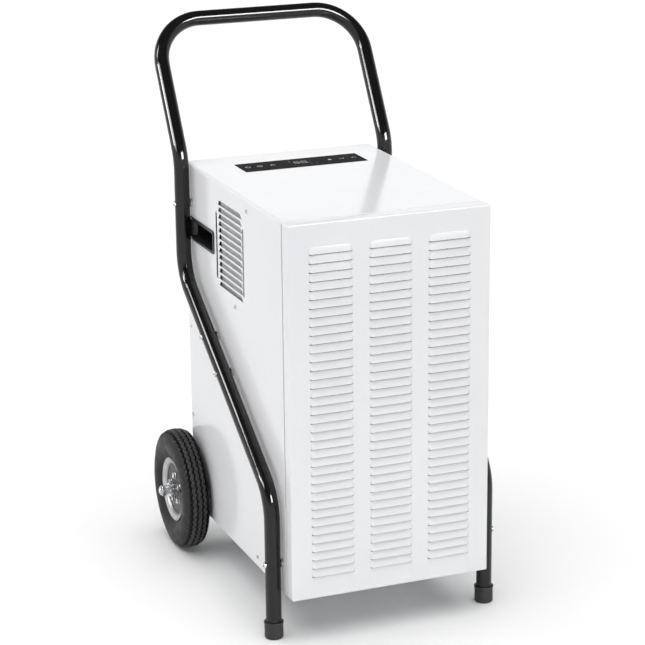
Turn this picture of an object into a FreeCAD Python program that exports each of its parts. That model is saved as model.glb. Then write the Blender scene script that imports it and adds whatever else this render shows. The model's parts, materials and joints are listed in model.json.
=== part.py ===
"""Wheeled building dehumidifier: louvred steel cabinet on a bent tube frame.

Millimetres, +Z up, the front (louvred) face looks towards -Y and +X is on the right of
someone facing it.  Everything is laid out with the front face at Y = 0 and is shifted
on export, so that the origin ends up under the middle of the whole machine, on the floor.
"""
import FreeCAD, Part
import math
import os

V = FreeCAD.Vector

# --------------------------------------------------------------- driving dimensions
CAB_HALF = 178.5            # half the cabinet's width
CAB_DEPTH = 512.0           # front face to rear face
CAB_BOTTOM = 79.0
CAB_TOP = 724.0
SHEET = 1.0                 # cabinet sheet
FIT = 0.3                   # gap left between neighbouring sheets
FLOOR_SHEET = 1.5           # floor pan

TRAY_DEPTH = 27.5           # flange of the louvred front tray
TRAY_SHEET = 1.2
TRAY_SEAM = 1.5             # groove between the tray and the cabinet shell
TRAY_EDGE = 4.0             # bend radius round the tray's face
TRAY_SCREW_X = (-120.0, 0.0, 120.0)
TRAY_SCREW_Y = 14.0
SHELL_LIP = 0.8             # rounding of the shell's edge along the groove
FLANGE_FOOT = 84.0          # lower end of the shell's inward return

LOUVRE_COLUMNS = (-105.0, 0.0, 105.0)
LOUVRE_ROWS = 38
LOUVRE_PITCH = 15.0
LOUVRE_TOP = 673.3          # mouth of the highest louvre
LOUVRE_HALF = 37.5
LOUVRE_RISE = 12.2          # height of a hood above its mouth
LOUVRE_OUT = 3.4            # how far a hood stands out

TUBE_R = 13.45              # 26.9 mm tube
TUBE_WALL = 2.0
TUBE_X = 195.3              # centre line of each leg
TUBE_BEND = 80.0
HANDLE_BEND = 85.0
FOOT_Y = 47.0
LEG_KNEE_Z = 250.0          # where the leg turns into the diagonal
BACK_Y = 482.6              # rear upright
BACK_LOW_Z = 526.6
BACK_HIGH_Z = 735.4
HANDLE_Y = 620.0            # centre of the top bar
HANDLE_Z = 959.5
CAP_R = 16.0
CAP_HEIGHT = 29.5
CAP_FLOOR = 3.0
FRAME_BOLTS = ((BACK_Y, 655.0), (353.0, 444.3), (281.0, 398.6), (FOOT_Y, 132.0))

WHEEL_X = 206.0             # middle of the tyre
WHEEL_Y = 503.0
WHEEL_R = 110.5
AXLE_R = 6.0
HUB_R = 12.0
HUB_HALF = 22.0
RUN_CLEAR = 0.05            # radial clearance of a running fit
AXLE_HALF = 249.0
RIM_BOLT_CIRCLE = 25.0
RIM_BOLTS = 5
RIM_BOLT_ANGLE = 12.0       # of the first bolt, from the rear towards the top
VALVE_CIRCLE = 36.0
VALVE_ANGLE = 166.0

VENT_Y = 277.0              # middle of the side outlet
VENT_ROWS = 13
VENT_PITCH = 12.0
VENT_TOP = 692.6
VENT_SLOT = 8.8
VENT_HALF_TOP = 54.0
VENT_HALF_LOW = 60.5
VENT_SIDE_SLOTS = (213.0, 348.0)
VENT_SIDE_Z = (550.0, 669.0)
SIDE_SCREWS = ((191.0, 704.0), (257.0, 521.7), (167.6, 96.0), (505.0, 250.0), (505.0, 420.0),
               (505.0, 690.0))

GRIP_Y = (361.0, 491.0)
GRIP_Z = (588.5, 629.5)

CONTROL_X = (-109.0, 121.0)
CONTROL_Y = (383.5, 447.0)
KEY_OFFSETS = (-100, -79, -53, 53, 79, 100)
GLAND_X = 130.0
GLAND_Z = 375.0

EVAPORATOR_Y = (48.0, 92.0)
CONDENSER_Y = (120.0, 158.0)
COIL_HALF = 144.0           # finned length of a coil, each side of the middle
COIL_Z = (372.0, 700.0)
COIL_PASSES = 11
COIL_REACH = 160.0          # outer end of the tube turns
LINE_X = 172.0              # pipes that run between a coil's end and the cabinet side
FIN_PITCH = 8.0
BULKHEAD_Y = 166.0
FAN_Z = 545.0
FAN_R = 120.0
ORIFICE_R = 125.0
SHELF_Z = 405.0
COMPRESSOR_X = 20.0
COMPRESSOR_Y = 245.0
COMPRESSOR_R = 60.0
COMPRESSOR_CAN = 236.0      # height of the can above its foot plate
COMPRESSOR_CAP = 14.0
COMPRESSOR_FOOT = 3.0
MOUNT_HEIGHT = 14.0
ACCUMULATOR_X = 118.0
DRIER_X = -120.0
DRIER_Y = 190.0

TANK_HALF = 140.0
TANK_Y = (345.0, 514.0)
TANK_Z = (131.0, 320.0)
TANK_WALL = 3.0
FLOAT_X = 95.0
FLOAT_Y = 400.0
SPOUT_X = -60.0

FLOOR_Z = CAB_BOTTOM + TRAY_SHEET + 0.2
FLOOR_TOP = FLOOR_Z + FLOOR_SHEET
COMPRESSOR_BASE = FLOOR_TOP + MOUNT_HEIGHT
ORIGIN_Y = (HANDLE_Y + TUBE_R - LOUVRE_OUT) / 2.0


# --------------------------------------------------------------------- small helpers
def box(x0, x1, y0, y1, z0, z1):
    return Part.makeBox(x1 - x0, y1 - y0, z1 - z0, V(x0, y0, z0))


def rod(axis, start, length, radius):
    """Cylinder from `start` along "x", "y" or "z"."""
    direction = {"x": V(1, 0, 0), "y": V(0, 1, 0), "z": V(0, 0, 1)}[axis]
    return Part.makeCylinder(radius, length, V(*start), direction)


def ring(axis, start, length, outer, inner):
    return rod(axis, start, length, outer).cut(rod(axis, start, length, inner))


def solid_prism(points, sweep):
    """Closed polygon of 3-D points, extruded along the vector `sweep`."""
    corners = [V(*p) for p in points]
    return Part.Face(Part.makePolygon(corners + corners[:1])).extrude(V(*sweep))


def mirrored(shape):
    """The same piece on the other side of the machine."""
    return shape.mirror(V(0, 0, 0), V(1, 0, 0))


def both_sides(shape):
    return [shape, mirrored(shape)]


def group(solids):
    return Part.makeCompound(list(solids))


def cut_all(shape, cutters):
    return shape.cut(group(cutters))


def edges_along(shape, axis, keep):
    """Straight edges parallel to an axis whose middle passes the test `keep`."""
    found = []
    for edge in shape.Edges:
        if len(edge.Vertexes) != 2:
            continue
        run = edge.Vertexes[1].Point.sub(edge.Vertexes[0].Point)
        along = {"x": run.x, "y": run.y, "z": run.z}[axis]
        if abs(abs(along) - run.Length) < 1e-6 and keep(edge.CenterOfMass):
            found.append(edge)
    return found


def bent_path(points, radii):
    """Wire of straight runs joined by tangent arcs; one radius for each inner point."""
    corners = [V(*p) for p in points]
    edges = []
    start = corners[0]
    for index in range(1, len(corners) - 1):
        corner = corners[index]
        back = corners[index - 1].sub(corner).normalize()
        ahead = corners[index + 1].sub(corner).normalize()
        half = back.getAngle(ahead) / 2.0
        radius = radii[index - 1]
        setback = radius / math.tan(half)
        enter = corner + back * setback
        leave = corner + ahead * setback
        middle = (back + ahead).normalize()
        crown = corner + middle * (radius / math.sin(half) - radius)
        if enter.distanceToPoint(start) > 1e-6:
            edges.append(Part.makeLine(start, enter))
        edges.append(Part.Arc(enter, crown, leave).toShape())
        start = leave
    edges.append(Part.makeLine(start, corners[-1]))
    return Part.Wire(edges)


def pipe(points, radii, radius, wall=None):
    """Round bar or tube along a bent path."""
    path = bent_path(points, radii)
    heading = V(*points[1]).sub(V(*points[0]))

    def sweep(size):
        circle = Part.Wire([Part.makeCircle(size, V(*points[0]), heading)])
        return path.makePipeShell([circle], True, True)

    if wall is None:
        return sweep(radius)
    return sweep(radius).cut(sweep(radius - wall))


def perforated(outline, holes, sweep):
    """Flat face with many holes, extruded in one go."""
    wires = [Part.makePolygon([V(*p) for p in outline + outline[:1]])] + holes
    return Part.makeFace(wires, "Part::FaceMakerCheese").extrude(V(*sweep))


def pan_screw(x, y, z, reach):
    """Small pan-head screw driven into the right side wall."""
    head = rod("x", (x, y, z), 1.8, 3.5)
    head = head.makeFillet(0.9, [e for e in head.Edges if abs(e.CenterOfMass.x - x - 1.8) < 1e-6])
    shank = rod("x", (x - reach, y, z), reach, 1.9)
    slot = box(x + 0.9, x + 2.0, y - 2.4, y + 2.4, z - 0.4, z + 0.4)
    cross = box(x + 0.9, x + 2.0, y - 0.4, y + 0.4, z - 2.4, z + 2.4)
    return head.fuse(shank).cut(slot).cut(cross)


# ------------------------------------------------------------------------ the cabinet
def louvre_hood(x, z, inset, out, rise, back):
    """Hip-ended hood: open mouth at height z, sloping up to the face at z + rise."""
    half = LOUVRE_HALF - inset
    mouth = [V(x - half, back, z), V(x + half, back, z),
             V(x + half - 4.5, -out, z), V(x - half + 4.5, -out, z)]
    top = [V(x - half + 2.5, back, z + rise), V(x + half - 2.5, back, z + rise)]
    outlines = [mouth, [mouth[3], mouth[2], top[1], top[0]], [mouth[0], mouth[1], top[1], top[0]],
                [mouth[0], mouth[3], top[0]], [mouth[1], mouth[2], top[1]]]
    faces = [Part.Face(Part.makePolygon(line + line[:1])) for line in outlines]
    return Part.makeSolid(Part.makeShell(faces))


def front_panel():
    """Pan with a flange all round and three columns of pressed louvres."""
    outer = box(-CAB_HALF, CAB_HALF, 0, TRAY_DEPTH, CAB_BOTTOM, CAB_TOP)
    outer = outer.makeFillet(TRAY_EDGE, edges_along(outer, "y", lambda c: True))
    inner_half = CAB_HALF - TRAY_SHEET
    inner = box(-inner_half, inner_half, TRAY_SHEET, TRAY_DEPTH + 1,
                CAB_BOTTOM + TRAY_SHEET, CAB_TOP - TRAY_SHEET)
    inner = inner.makeFillet(TRAY_EDGE - TRAY_SHEET, edges_along(inner, "y", lambda c: True))
    outer = outer.makeFillet(1.5, [e for e in outer.Edges if abs(e.CenterOfMass.y) < 1e-6])
    tray = outer.cut(inner)
    hoods = []
    hollows = []
    for x in LOUVRE_COLUMNS:
        for row in range(LOUVRE_ROWS):
            z = LOUVRE_TOP - row * LOUVRE_PITCH
            hoods.append(louvre_hood(x, z, 0.0, LOUVRE_OUT, LOUVRE_RISE, 0.5))
            hollows.append(louvre_hood(x, z - 0.6, 1.4, LOUVRE_OUT - 1.0, LOUVRE_RISE - 2.0, 0.55)
                           .fuse(box(x - LOUVRE_HALF + 1.4, x + LOUVRE_HALF - 1.4,
                                     0.5, TRAY_SHEET + 1, z - 0.6, z + 6.5)))
    tray = tray.fuse(hoods)
    tray = cut_all(tray, hollows)
    bottom_holes = [rod("z", (x, TRAY_SCREW_Y, CAB_BOTTOM - 1), 4, 2.1) for x in TRAY_SCREW_X]
    return cut_all(tray, bottom_holes)


def vent_cutters():
    """Trapezoid louvre slots of one side outlet, with the upright slot at each end."""
    x = CAB_HALF - 2 * SHEET
    cutters = []
    for row in range(VENT_ROWS):
        top = VENT_TOP - row * VENT_PITCH
        low = top - VENT_SLOT
        outline = [(x, VENT_Y - VENT_HALF_TOP, top), (x, VENT_Y + VENT_HALF_TOP, top),
                   (x, VENT_Y + VENT_HALF_LOW, low), (x, VENT_Y - VENT_HALF_LOW, low)]
        cutters.append(solid_prism(outline, (3 * SHEET, 0, 0)))
    low, high = VENT_SIDE_Z
    for y in VENT_SIDE_SLOTS:
        slot = box(x, x + 3 * SHEET, y - 4, y + 4, low, high)
        cutters.append(slot.makeFillet(3.9, edges_along(slot, "x", lambda c: True)))
    return cutters


def cabinet_shell():
    """One sheet bent over both sides and the top, with an inward return at the front."""
    start = TRAY_DEPTH + TRAY_SEAM
    outer = box(-CAB_HALF, CAB_HALF, start, CAB_DEPTH, CAB_BOTTOM, CAB_TOP)
    outer = outer.makeFillet(5.0, edges_along(outer, "y", lambda c: c.z > CAB_TOP - 1))
    outer = outer.makeFillet(SHELL_LIP, [e for e in outer.Edges
                                         if abs(e.CenterOfMass.y - start) < 1e-6
                                         and e.CenterOfMass.z > CAB_BOTTOM + 1])
    inner_half = CAB_HALF - SHEET
    inner = box(-inner_half, inner_half, start - 1, CAB_DEPTH + 1, CAB_BOTTOM - 1, CAB_TOP - SHEET)
    inner = inner.makeFillet(4.0, edges_along(inner, "y", lambda c: c.z > CAB_TOP - 2))
    shell = outer.cut(inner)
    flange = outer.common(box(-CAB_HALF, CAB_HALF, start, start + SHEET, FLANGE_FOOT,
                              CAB_TOP))
    flange = flange.cut(box(-165.5, 165.5, 0, 100, 0, CAB_TOP - 12))
    shell = shell.fuse(flange)

    side = vent_cutters()
    side.append(box(CAB_HALF - 3, CAB_HALF + 3, GRIP_Y[0] + 4, GRIP_Y[1] - 4,
                    GRIP_Z[0] + 4, GRIP_Z[1] - 4))
    side.append(rod("x", (CAB_HALF - 3, WHEEL_Y, WHEEL_R), 6, AXLE_R + 0.2))
    side += [rod("x", (CAB_HALF - 3, y, z), 6, 3.2) for y, z in FRAME_BOLTS]
    side += [rod("x", (CAB_HALF - 3, y, z), 6, 2.1) for y, z in SIDE_SCREWS]
    cutters = side + [mirrored(c) for c in side]
    cutters.append(box(CONTROL_X[0], CONTROL_X[1], CONTROL_Y[0], CONTROL_Y[1],
                       CAB_TOP - 3, CAB_TOP + 1))
    return cut_all(shell, cutters)


def rear_panel():
    """Flat rear sheet with side flanges, the tank opening and the cable entry."""
    half = CAB_HALF - SHEET - FIT
    sheet = box(-half, half, CAB_DEPTH - SHEET, CAB_DEPTH, CAB_BOTTOM + 2, CAB_TOP - 1.3)
    flange = box(half - SHEET, half, CAB_DEPTH - 14, CAB_DEPTH - SHEET, 155, CAB_TOP - 8)
    for side in both_sides(flange):
        sheet = sheet.fuse(side)
    cutters = [box(-TANK_HALF - 4, TANK_HALF + 4, CAB_DEPTH - 5, CAB_DEPTH + 5,
                   TANK_Z[0] - 4, TANK_Z[1] + 4),
               rod("y", (GLAND_X, CAB_DEPTH - 5, GLAND_Z), 10, 8.1)]
    holes = [rod("x", (half - 3, y, z), 6, 2.1) for y, z in SIDE_SCREWS if y > 500]
    cutters += holes + [mirrored(h) for h in holes]
    corner_cuts = box(half - 4, half + 1, CAB_DEPTH - 5, CAB_DEPTH + 1, CAB_TOP - 5, CAB_TOP)
    cutters += both_sides(corner_cuts)
    return cut_all(sheet, cutters)


def base_tray():
    """Floor pan that carries the compressor, the axle and the legs' lower bolts."""
    half = CAB_HALF - SHEET - 2 * FIT
    pan = box(-half, half, 31, CAB_DEPTH - SHEET - FIT, FLOOR_Z, FLOOR_TOP)
    pan = pan.fuse(box(-half + 12, half - 12, 6, 31, FLOOR_Z, FLOOR_TOP))
    wall = box(half - FLOOR_SHEET, half, 31, CAB_DEPTH - SHEET - FIT, FLOOR_TOP, 150)
    for side in both_sides(wall):
        pan = pan.fuse(side)
    low_screws = [s for s in SIDE_SCREWS if s[1] < 150]
    holes = [rod("x", (half - 5, y, z), 10, 2.1) for y, z in low_screws]
    holes.append(rod("x", (half - 5, FOOT_Y, FRAME_BOLTS[3][1]), 10, 3.2))
    holes.append(rod("x", (half - 5, WHEEL_Y, WHEEL_R), 10, AXLE_R + 0.2))
    cutters = holes + [mirrored(h) for h in holes]
    cutters += [rod("z", (x, TRAY_SCREW_Y, FLOOR_Z - 1), 4, 1.95) for x in TRAY_SCREW_X]
    cutters += [rod("z", (x, y, FLOOR_Z - 1), 4, 3.2) for x, y in compressor_feet()]
    return cut_all(pan, cutters)


def tank_bay():
    """Sheet box round the water tank, open to the rear, with the spout hole on top."""
    half = TANK_HALF + 6
    low, high = TANK_Z[0] - 2.5, TANK_Z[1] + 13
    outer = box(-half, half, TANK_Y[0] - 6, CAB_DEPTH - SHEET - FIT, low, high)
    inner = box(-half + SHEET, half - SHEET, TANK_Y[0] - 5, CAB_DEPTH + 1, low + SHEET,
                high - SHEET)
    bay = outer.cut(inner)
    rails = box(TANK_HALF - 14, TANK_HALF - 6, TANK_Y[0] - 5, CAB_DEPTH - 3, low + SHEET,
                TANK_Z[0] - 0.3)
    for rail in both_sides(rails):
        bay = bay.fuse(rail)
    return bay.cut(rod("z", (SPOUT_X, FLOAT_Y, high - 3), 6, 10.0))


def side_grip():
    """Recessed finger grip of the right side: bevelled frame and a closed pocket."""
    y0, y1 = GRIP_Y
    z0, z1 = GRIP_Z
    plate = box(CAB_HALF, CAB_HALF + 2, y0, y1, z0, z1)
    plate = plate.makeFillet(5.0, edges_along(plate, "x", lambda c: True))
    pocket = box(CAB_HALF - 34, CAB_HALF, y0 + 4.4, y1 - 4.4, z0 + 4.4, z1 - 4.4)
    body = plate.fuse(pocket)

    def mouth(x, side, top, low):
        corners = [V(x, y0 + side, z0 + low), V(x, y1 - side, z0 + low),
                   V(x, y1 - side, z1 - top), V(x, y0 + side, z1 - top)]
        return Part.makePolygon(corners + corners[:1])

    bevel = Part.makeLoft([mouth(CAB_HALF + 2.1, 4.5, 4.5, 4.5),
                           mouth(CAB_HALF - 10, 12.0, 12.0, 7.0)], True)
    hollow = box(CAB_HALF - 32, CAB_HALF - 9.9, y0 + 6.8, y1 - 6.8, z0 + 6.8, z1 - 6.8)
    return body.cut(bevel).cut(hollow)


def vent_mesh():
    """Finger guard behind the right outlet: a perforated sheet on three edge strips."""
    x_in = CAB_HALF - SHEET - 4.8
    x_out = CAB_HALF - SHEET
    outline = [(x_in, 199, 530), (x_in, 337, 530), (x_in, 337, 698), (x_in, 199, 698)]
    holes = []
    for column in range(16):
        for row in range(20):
            y = 204.0 + column * 8.2
            z = 534.0 + row * 8.1
            corners = [V(x_in, y, z), V(x_in, y + 6.2, z), V(x_in, y + 6.2, z + 6.1),
                       V(x_in, y, z + 6.1)]
            holes.append(Part.makePolygon(corners + corners[:1]))
    sheet = perforated(outline, holes, (0.8, 0, 0))
    strips = [box(x_in, x_out, 184, 199, 515, 712), box(x_in, x_out, 199, 337, 515, 530),
              box(x_in, x_out, 199, 337, 698, 712)]
    guard = sheet.fuse(strips)
    holes = [rod("x", (x_in - 1, y, z), 8, 1.95) for y, z in SIDE_SCREWS[:2]]
    return cut_all(guard, holes)


# ----------------------------------------------------------------------- the controls
def control_overlay():
    plate = box(CONTROL_X[0] + 0.2, CONTROL_X[1] - 0.2, CONTROL_Y[0] + 0.2, CONTROL_Y[1] - 0.2,
                CAB_TOP - SHEET, CAB_TOP + 0.6)
    return plate.makeFillet(1.0, edges_along(plate, "z", lambda c: True))


def control_housing():
    """Box under the overlay that closes the control electronics in."""
    x0, x1 = CONTROL_X
    y0, y1 = CONTROL_Y
    outer = box(x0 - 5, x1 + 5, y0 - 5, y1 + 5, CAB_TOP - 26, CAB_TOP - SHEET)
    inner = box(x0 - 3, x1 + 3, y0 - 3, y1 + 3, CAB_TOP - 27, CAB_TOP - 3)
    window = box(-22, 34, 397, 433, CAB_TOP - 4, CAB_TOP)
    return outer.cut(inner).cut(window)


def control_board():
    """Circuit board with its six key switches."""
    z = CAB_TOP - 20
    board = box(CONTROL_X[0], CONTROL_X[1], CONTROL_Y[0], CONTROL_Y[1], z, z + 1.6)
    middle = sum(CONTROL_X) / 2
    for offset in KEY_OFFSETS:
        switch = box(middle + offset - 3, middle + offset + 3, 412, 418, z + 1.6, z + 8)
        board = board.fuse(switch)
    return board


def display_module():
    return box(-20, 32, 399, 431, CAB_TOP - 18.4, CAB_TOP - SHEET - 0.2)


def electrics_box():
    """Terminal and relay box on the shelf, with a lid lip and two knock-outs."""
    body = box(-85, 45, 425, 495, SHELF_Z + 1.2, SHELF_Z + 131)
    lid = box(-87, 47, 423, 497, SHELF_Z + 131, SHELF_Z + 136)
    glands = [rod("y", (x, 415, SHELF_Z + 30), 10, 7) for x in (-50, 0)]
    case = body.fuse(lid).fuse(glands)
    return case.makeFillet(3.0, edges_along(case, "z", lambda c: c.z < SHELF_Z + 131))


def run_capacitor():
    can = rod("z", (95, 460, SHELF_Z + 1.2), 90, 20)
    stud = rod("z", (95, 460, SHELF_Z + 91.2), 8, 4)
    return can.fuse(stud)


def cable_gland():
    """Cable entry in the rear panel; no cord is fitted."""
    face = CAB_DEPTH
    body = rod("y", (GLAND_X, face - 12, GLAND_Z), 12, 8.0)
    body = body.fuse(rod("y", (GLAND_X, face, GLAND_Z), 3, 12.0))
    nose = Part.makeCone(11.0, 7.0, 12.0, V(GLAND_X, face + 3, GLAND_Z), V(0, 1, 0))
    return body.fuse(nose).cut(rod("y", (GLAND_X, face - 13, GLAND_Z), 40, 4.0))


# ----------------------------------------------------------------- tube frame and feet
def handle_frame():
    """One tube: leg, diagonal, rear upright, sloping handle, and down the other side."""
    side = [(TUBE_X, FOOT_Y, CAP_FLOOR), (TUBE_X, FOOT_Y, LEG_KNEE_Z),
            (TUBE_X, BACK_Y, BACK_LOW_Z), (TUBE_X, BACK_Y, BACK_HIGH_Z),
            (TUBE_X, HANDLE_Y, HANDLE_Z)]
    other = [(-x, y, z) for x, y, z in reversed(side)]
    bends = [TUBE_BEND] * 3 + [HANDLE_BEND]
    tube = pipe(side + other, bends + bends[::-1], TUBE_R, TUBE_WALL)
    holes = [rod("x", (TUBE_X - 20, y, z), 40, 3.2) for y, z in FRAME_BOLTS]
    return cut_all(tube, holes + [mirrored(h) for h in holes])


def foot_caps():
    cap = rod("z", (TUBE_X, FOOT_Y, 0), CAP_HEIGHT, CAP_R)
    cap = cap.makeFillet(2.5, [e for e in cap.Edges if e.CenterOfMass.z < 1e-6
                               and len(e.Vertexes) == 1])
    lip = rod("z", (TUBE_X, FOOT_Y, CAP_HEIGHT - 3), 3, CAP_R + 0.8)
    cap = cap.fuse(lip).cut(rod("z", (TUBE_X, FOOT_Y, CAP_FLOOR), CAP_HEIGHT, TUBE_R))
    return group(both_sides(cap))


def frame_bolts():
    """Button-head bolts through the tube into the cabinet side."""
    seat = TUBE_X + TUBE_R
    bolts = []
    for y, z in FRAME_BOLTS:
        head = rod("x", (seat, y, z), 3.4, 5.4)
        head = head.makeFillet(2.2, [e for e in head.Edges
                                     if abs(e.CenterOfMass.x - seat - 3.4) < 1e-6])
        socket = Part.Face(hexagon(seat + 1.5, y, z, 2.3)).extrude(V(3, 0, 0))
        shank = rod("x", (CAB_HALF - 8, y, z), seat - CAB_HALF + 8, 3.0)
        bolts.append(head.fuse(shank).cut(socket))
    return group(bolts + [mirrored(b) for b in bolts])


def hexagon(x, y, z, radius):
    corners = [V(x, y + radius * math.cos(math.radians(60 * k)),
                 z + radius * math.sin(math.radians(60 * k))) for k in range(6)]
    return Part.makePolygon(corners + corners[:1])


def frame_spacers():
    """Collars that hold the tube clear of the painted side."""
    gap = TUBE_X - TUBE_R - CAB_HALF
    collars = [ring("x", (CAB_HALF, y, z), gap, 7.0, 3.2) for y, z in FRAME_BOLTS]
    return group(collars + [mirrored(c) for c in collars])


def panel_screws():
    """Screws of the cabinet's sides, and three up into the tray's lower flange."""
    screws = []
    for y, z in SIDE_SCREWS:
        screws += both_sides(pan_screw(CAB_HALF, y, z, 6.0))
    for x in TRAY_SCREW_X:
        head = rod("z", (x, TRAY_SCREW_Y, CAB_BOTTOM - 1.8), 1.8, 3.5)
        screws.append(head.fuse(rod("z", (x, TRAY_SCREW_Y, CAB_BOTTOM), 6, 1.9)))
    return group(screws)


# ------------------------------------------------------------------------- the wheels
def revolved(profile):
    """Closed (axial, radial) outline, turned about the right wheel's axle."""
    points = [V(WHEEL_X + u, WHEEL_Y, WHEEL_R + r) for u, r in profile]
    face = Part.Face(Part.makePolygon(points + points[:1]))
    return face.revolve(V(WHEEL_X, WHEEL_Y, WHEEL_R), V(1, 0, 0), 360)


def tyre():
    """Hollow tyre section: beads, bulging side walls and a crowned tread."""
    def at(u, r):
        return V(WHEEL_X + u, WHEEL_Y, WHEEL_R + r)

    def side(sign, bead_r, bulge, shoulder):
        return Part.Arc(at(sign * bead_r[0], bead_r[1]), at(sign * bulge[0], bulge[1]),
                        at(sign * shoulder[0], shoulder[1])).toShape()

    bead, bulge, shoulder = (15.8, 59.5), (25.0, 80.0), (19.5, 104.0)
    inner_bead, inner_bulge, inner_shoulder = (11.8, 59.0), (20.5, 80.0), (15.5, 99.5)
    crown = Part.Arc(at(*shoulder), at(0, WHEEL_R), at(-shoulder[0], shoulder[1])).toShape()
    inner_crown = Part.Arc(at(*inner_shoulder), at(0, 104.5),
                           at(-inner_shoulder[0], inner_shoulder[1])).toShape()

    def foot(sign):
        corners = [at(sign * bead[0], bead[1]), at(sign * 15.8, 52.0), at(sign * 11.8, 52.0),
                   at(sign * inner_bead[0], inner_bead[1])]
        return [Part.makeLine(a, b) for a, b in zip(corners, corners[1:])]

    edges = [side(1, bead, bulge, shoulder), crown, side(-1, bead, bulge, shoulder),
             side(1, inner_bead, inner_bulge, inner_shoulder), inner_crown,
             side(-1, inner_bead, inner_bulge, inner_shoulder)] + foot(1) + foot(-1)
    wire = Part.Wire(Part.__sortEdges__(edges))
    return Part.Face(wire).revolve(at(0, 0), V(1, 0, 0), 360)


def rim_half():
    """Outer pressed half of the split rim: dished disc, bead seat and flange."""
    profile = [(8.5, HUB_R), (11, HUB_R), (11, 44), (14, 48.5), (18.5, 51), (18.5, 58.5),
               (16.1, 58.5), (16.1, 51.5), (0.1, 51.5), (0.1, 49), (8.5, 49)]
    holes = [rod("x", (WHEEL_X, y, z), 20, 2.6) for y, z in rim_bolt_places()]
    return cut_all(revolved(profile), holes)


def rim_bolt_places():
    turns = [math.radians(RIM_BOLT_ANGLE + 360.0 * k / RIM_BOLTS) for k in range(RIM_BOLTS)]
    return [(WHEEL_Y + RIM_BOLT_CIRCLE * math.cos(t), WHEEL_R + RIM_BOLT_CIRCLE * math.sin(t))
            for t in turns]


def valve_place():
    turn = math.radians(VALVE_ANGLE)
    return WHEEL_Y + VALVE_CIRCLE * math.cos(turn), WHEEL_R + VALVE_CIRCLE * math.sin(turn)


def rim_outer():
    y, z = valve_place()
    return rim_half().cut(rod("x", (WHEEL_X, y, z), 20, 3.6))


def rim_inner():
    return rim_half().mirror(V(WHEEL_X, 0, 0), V(1, 0, 0))


def rim_bolts():
    """Bolts and nuts that clamp the two rim halves together."""
    bolts = []
    for y, z in rim_bolt_places():
        head = Part.Face(hexagon(WHEEL_X + 11, y, z, 5.0)).extrude(V(3.6, 0, 0))
        nut = Part.Face(hexagon(WHEEL_X - 15, y, z, 5.0)).extrude(V(4, 0, 0))
        shank = rod("x", (WHEEL_X - 17, y, z), 28, 2.5)
        bolts.append(head.fuse(shank).fuse(nut))
    return group(bolts)


def wheel_hub():
    return ring("x", (WHEEL_X - HUB_HALF, WHEEL_Y, WHEEL_R), 2 * HUB_HALF, HUB_R,
                AXLE_R + RUN_CLEAR)


def valve_stem():
    y, z = valve_place()
    stem = rod("x", (WHEEL_X + 3, y, z), 9, 3.4)
    return stem.fuse(rod("x", (WHEEL_X + 12, y, z), 4, 2.8))


def axle():
    bar = rod("x", (-AXLE_HALF, WHEEL_Y, WHEEL_R), 2 * AXLE_HALF, AXLE_R)
    return bar.makeChamfer(0.8, [e for e in bar.Edges if abs(e.CenterOfMass.x) > AXLE_HALF - 1])


def axle_nuts():
    outer = AXLE_HALF - 1.5
    nut = Part.Face(hexagon(outer - 9.0, WHEEL_Y, WHEEL_R, 10.9)).extrude(V(9.0, 0, 0))
    nut = nut.cut(rod("x", (outer - 10, WHEEL_Y, WHEEL_R), 12, AXLE_R))
    return group(both_sides(nut))


def axle_spacers():
    """Inner collar against the cabinet, outer washer and sleeve under the nut."""
    hub_in = WHEEL_X - HUB_HALF - 0.3
    hub_out = WHEEL_X + HUB_HALF + 0.3
    nut_in = AXLE_HALF - 1.5 - 9.0
    inner = ring("x", (CAB_HALF, WHEEL_Y, WHEEL_R), hub_in - CAB_HALF, 10.0, AXLE_R)
    washer = ring("x", (hub_out, WHEEL_Y, WHEEL_R), 2.0, 13.0, AXLE_R)
    sleeve = ring("x", (hub_out + 2.0, WHEEL_Y, WHEEL_R), nut_in - hub_out - 2.0, 8.5, AXLE_R)
    pieces = [inner, washer.fuse(sleeve)]
    return group(pieces + [mirrored(p) for p in pieces])


def axle_brackets():
    """Plates inside the floor pan's walls that carry the axle's load."""
    outer = CAB_HALF - SHEET - 2 * FIT - FLOOR_SHEET
    plate = box(outer - 3, outer, 455, CAB_DEPTH - 1.6, FLOOR_TOP, 126)
    foot = box(outer - 22, outer - 3, 455, CAB_DEPTH - 1.6, FLOOR_TOP, FLOOR_TOP + 3)
    bracket = plate.fuse(foot).cut(rod("x", (outer - 10, WHEEL_Y, WHEEL_R), 20, AXLE_R + 0.1))
    return group(both_sides(bracket))


# ------------------------------------------------------------------ air and refrigerant
def air_filter():
    """Framed filter net just behind the louvred tray."""
    y = 31.5
    outline = [(-162, y, 92), (162, y, 92), (162, y, 708), (-162, y, 708)]
    holes = []
    columns, rows = 8, 14
    wide, tall = 308.0 / columns, 600.0 / rows
    for column in range(columns):
        for row in range(rows):
            x = -154.0 + column * wide
            z = 100.0 + row * tall
            corners = [V(x + 1, y, z + 1), V(x + wide - 1, y, z + 1),
                       V(x + wide - 1, y, z + tall - 1), V(x + 1, y, z + tall - 1)]
            holes.append(Part.makePolygon(corners + corners[:1]))
    return perforated(outline, holes, (0, 5, 0))


def coil_pass_heights():
    low, high = COIL_Z
    pitch = (high - low) / COIL_PASSES
    return [low + pitch * (k + 0.5) for k in range(COIL_PASSES)]


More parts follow.
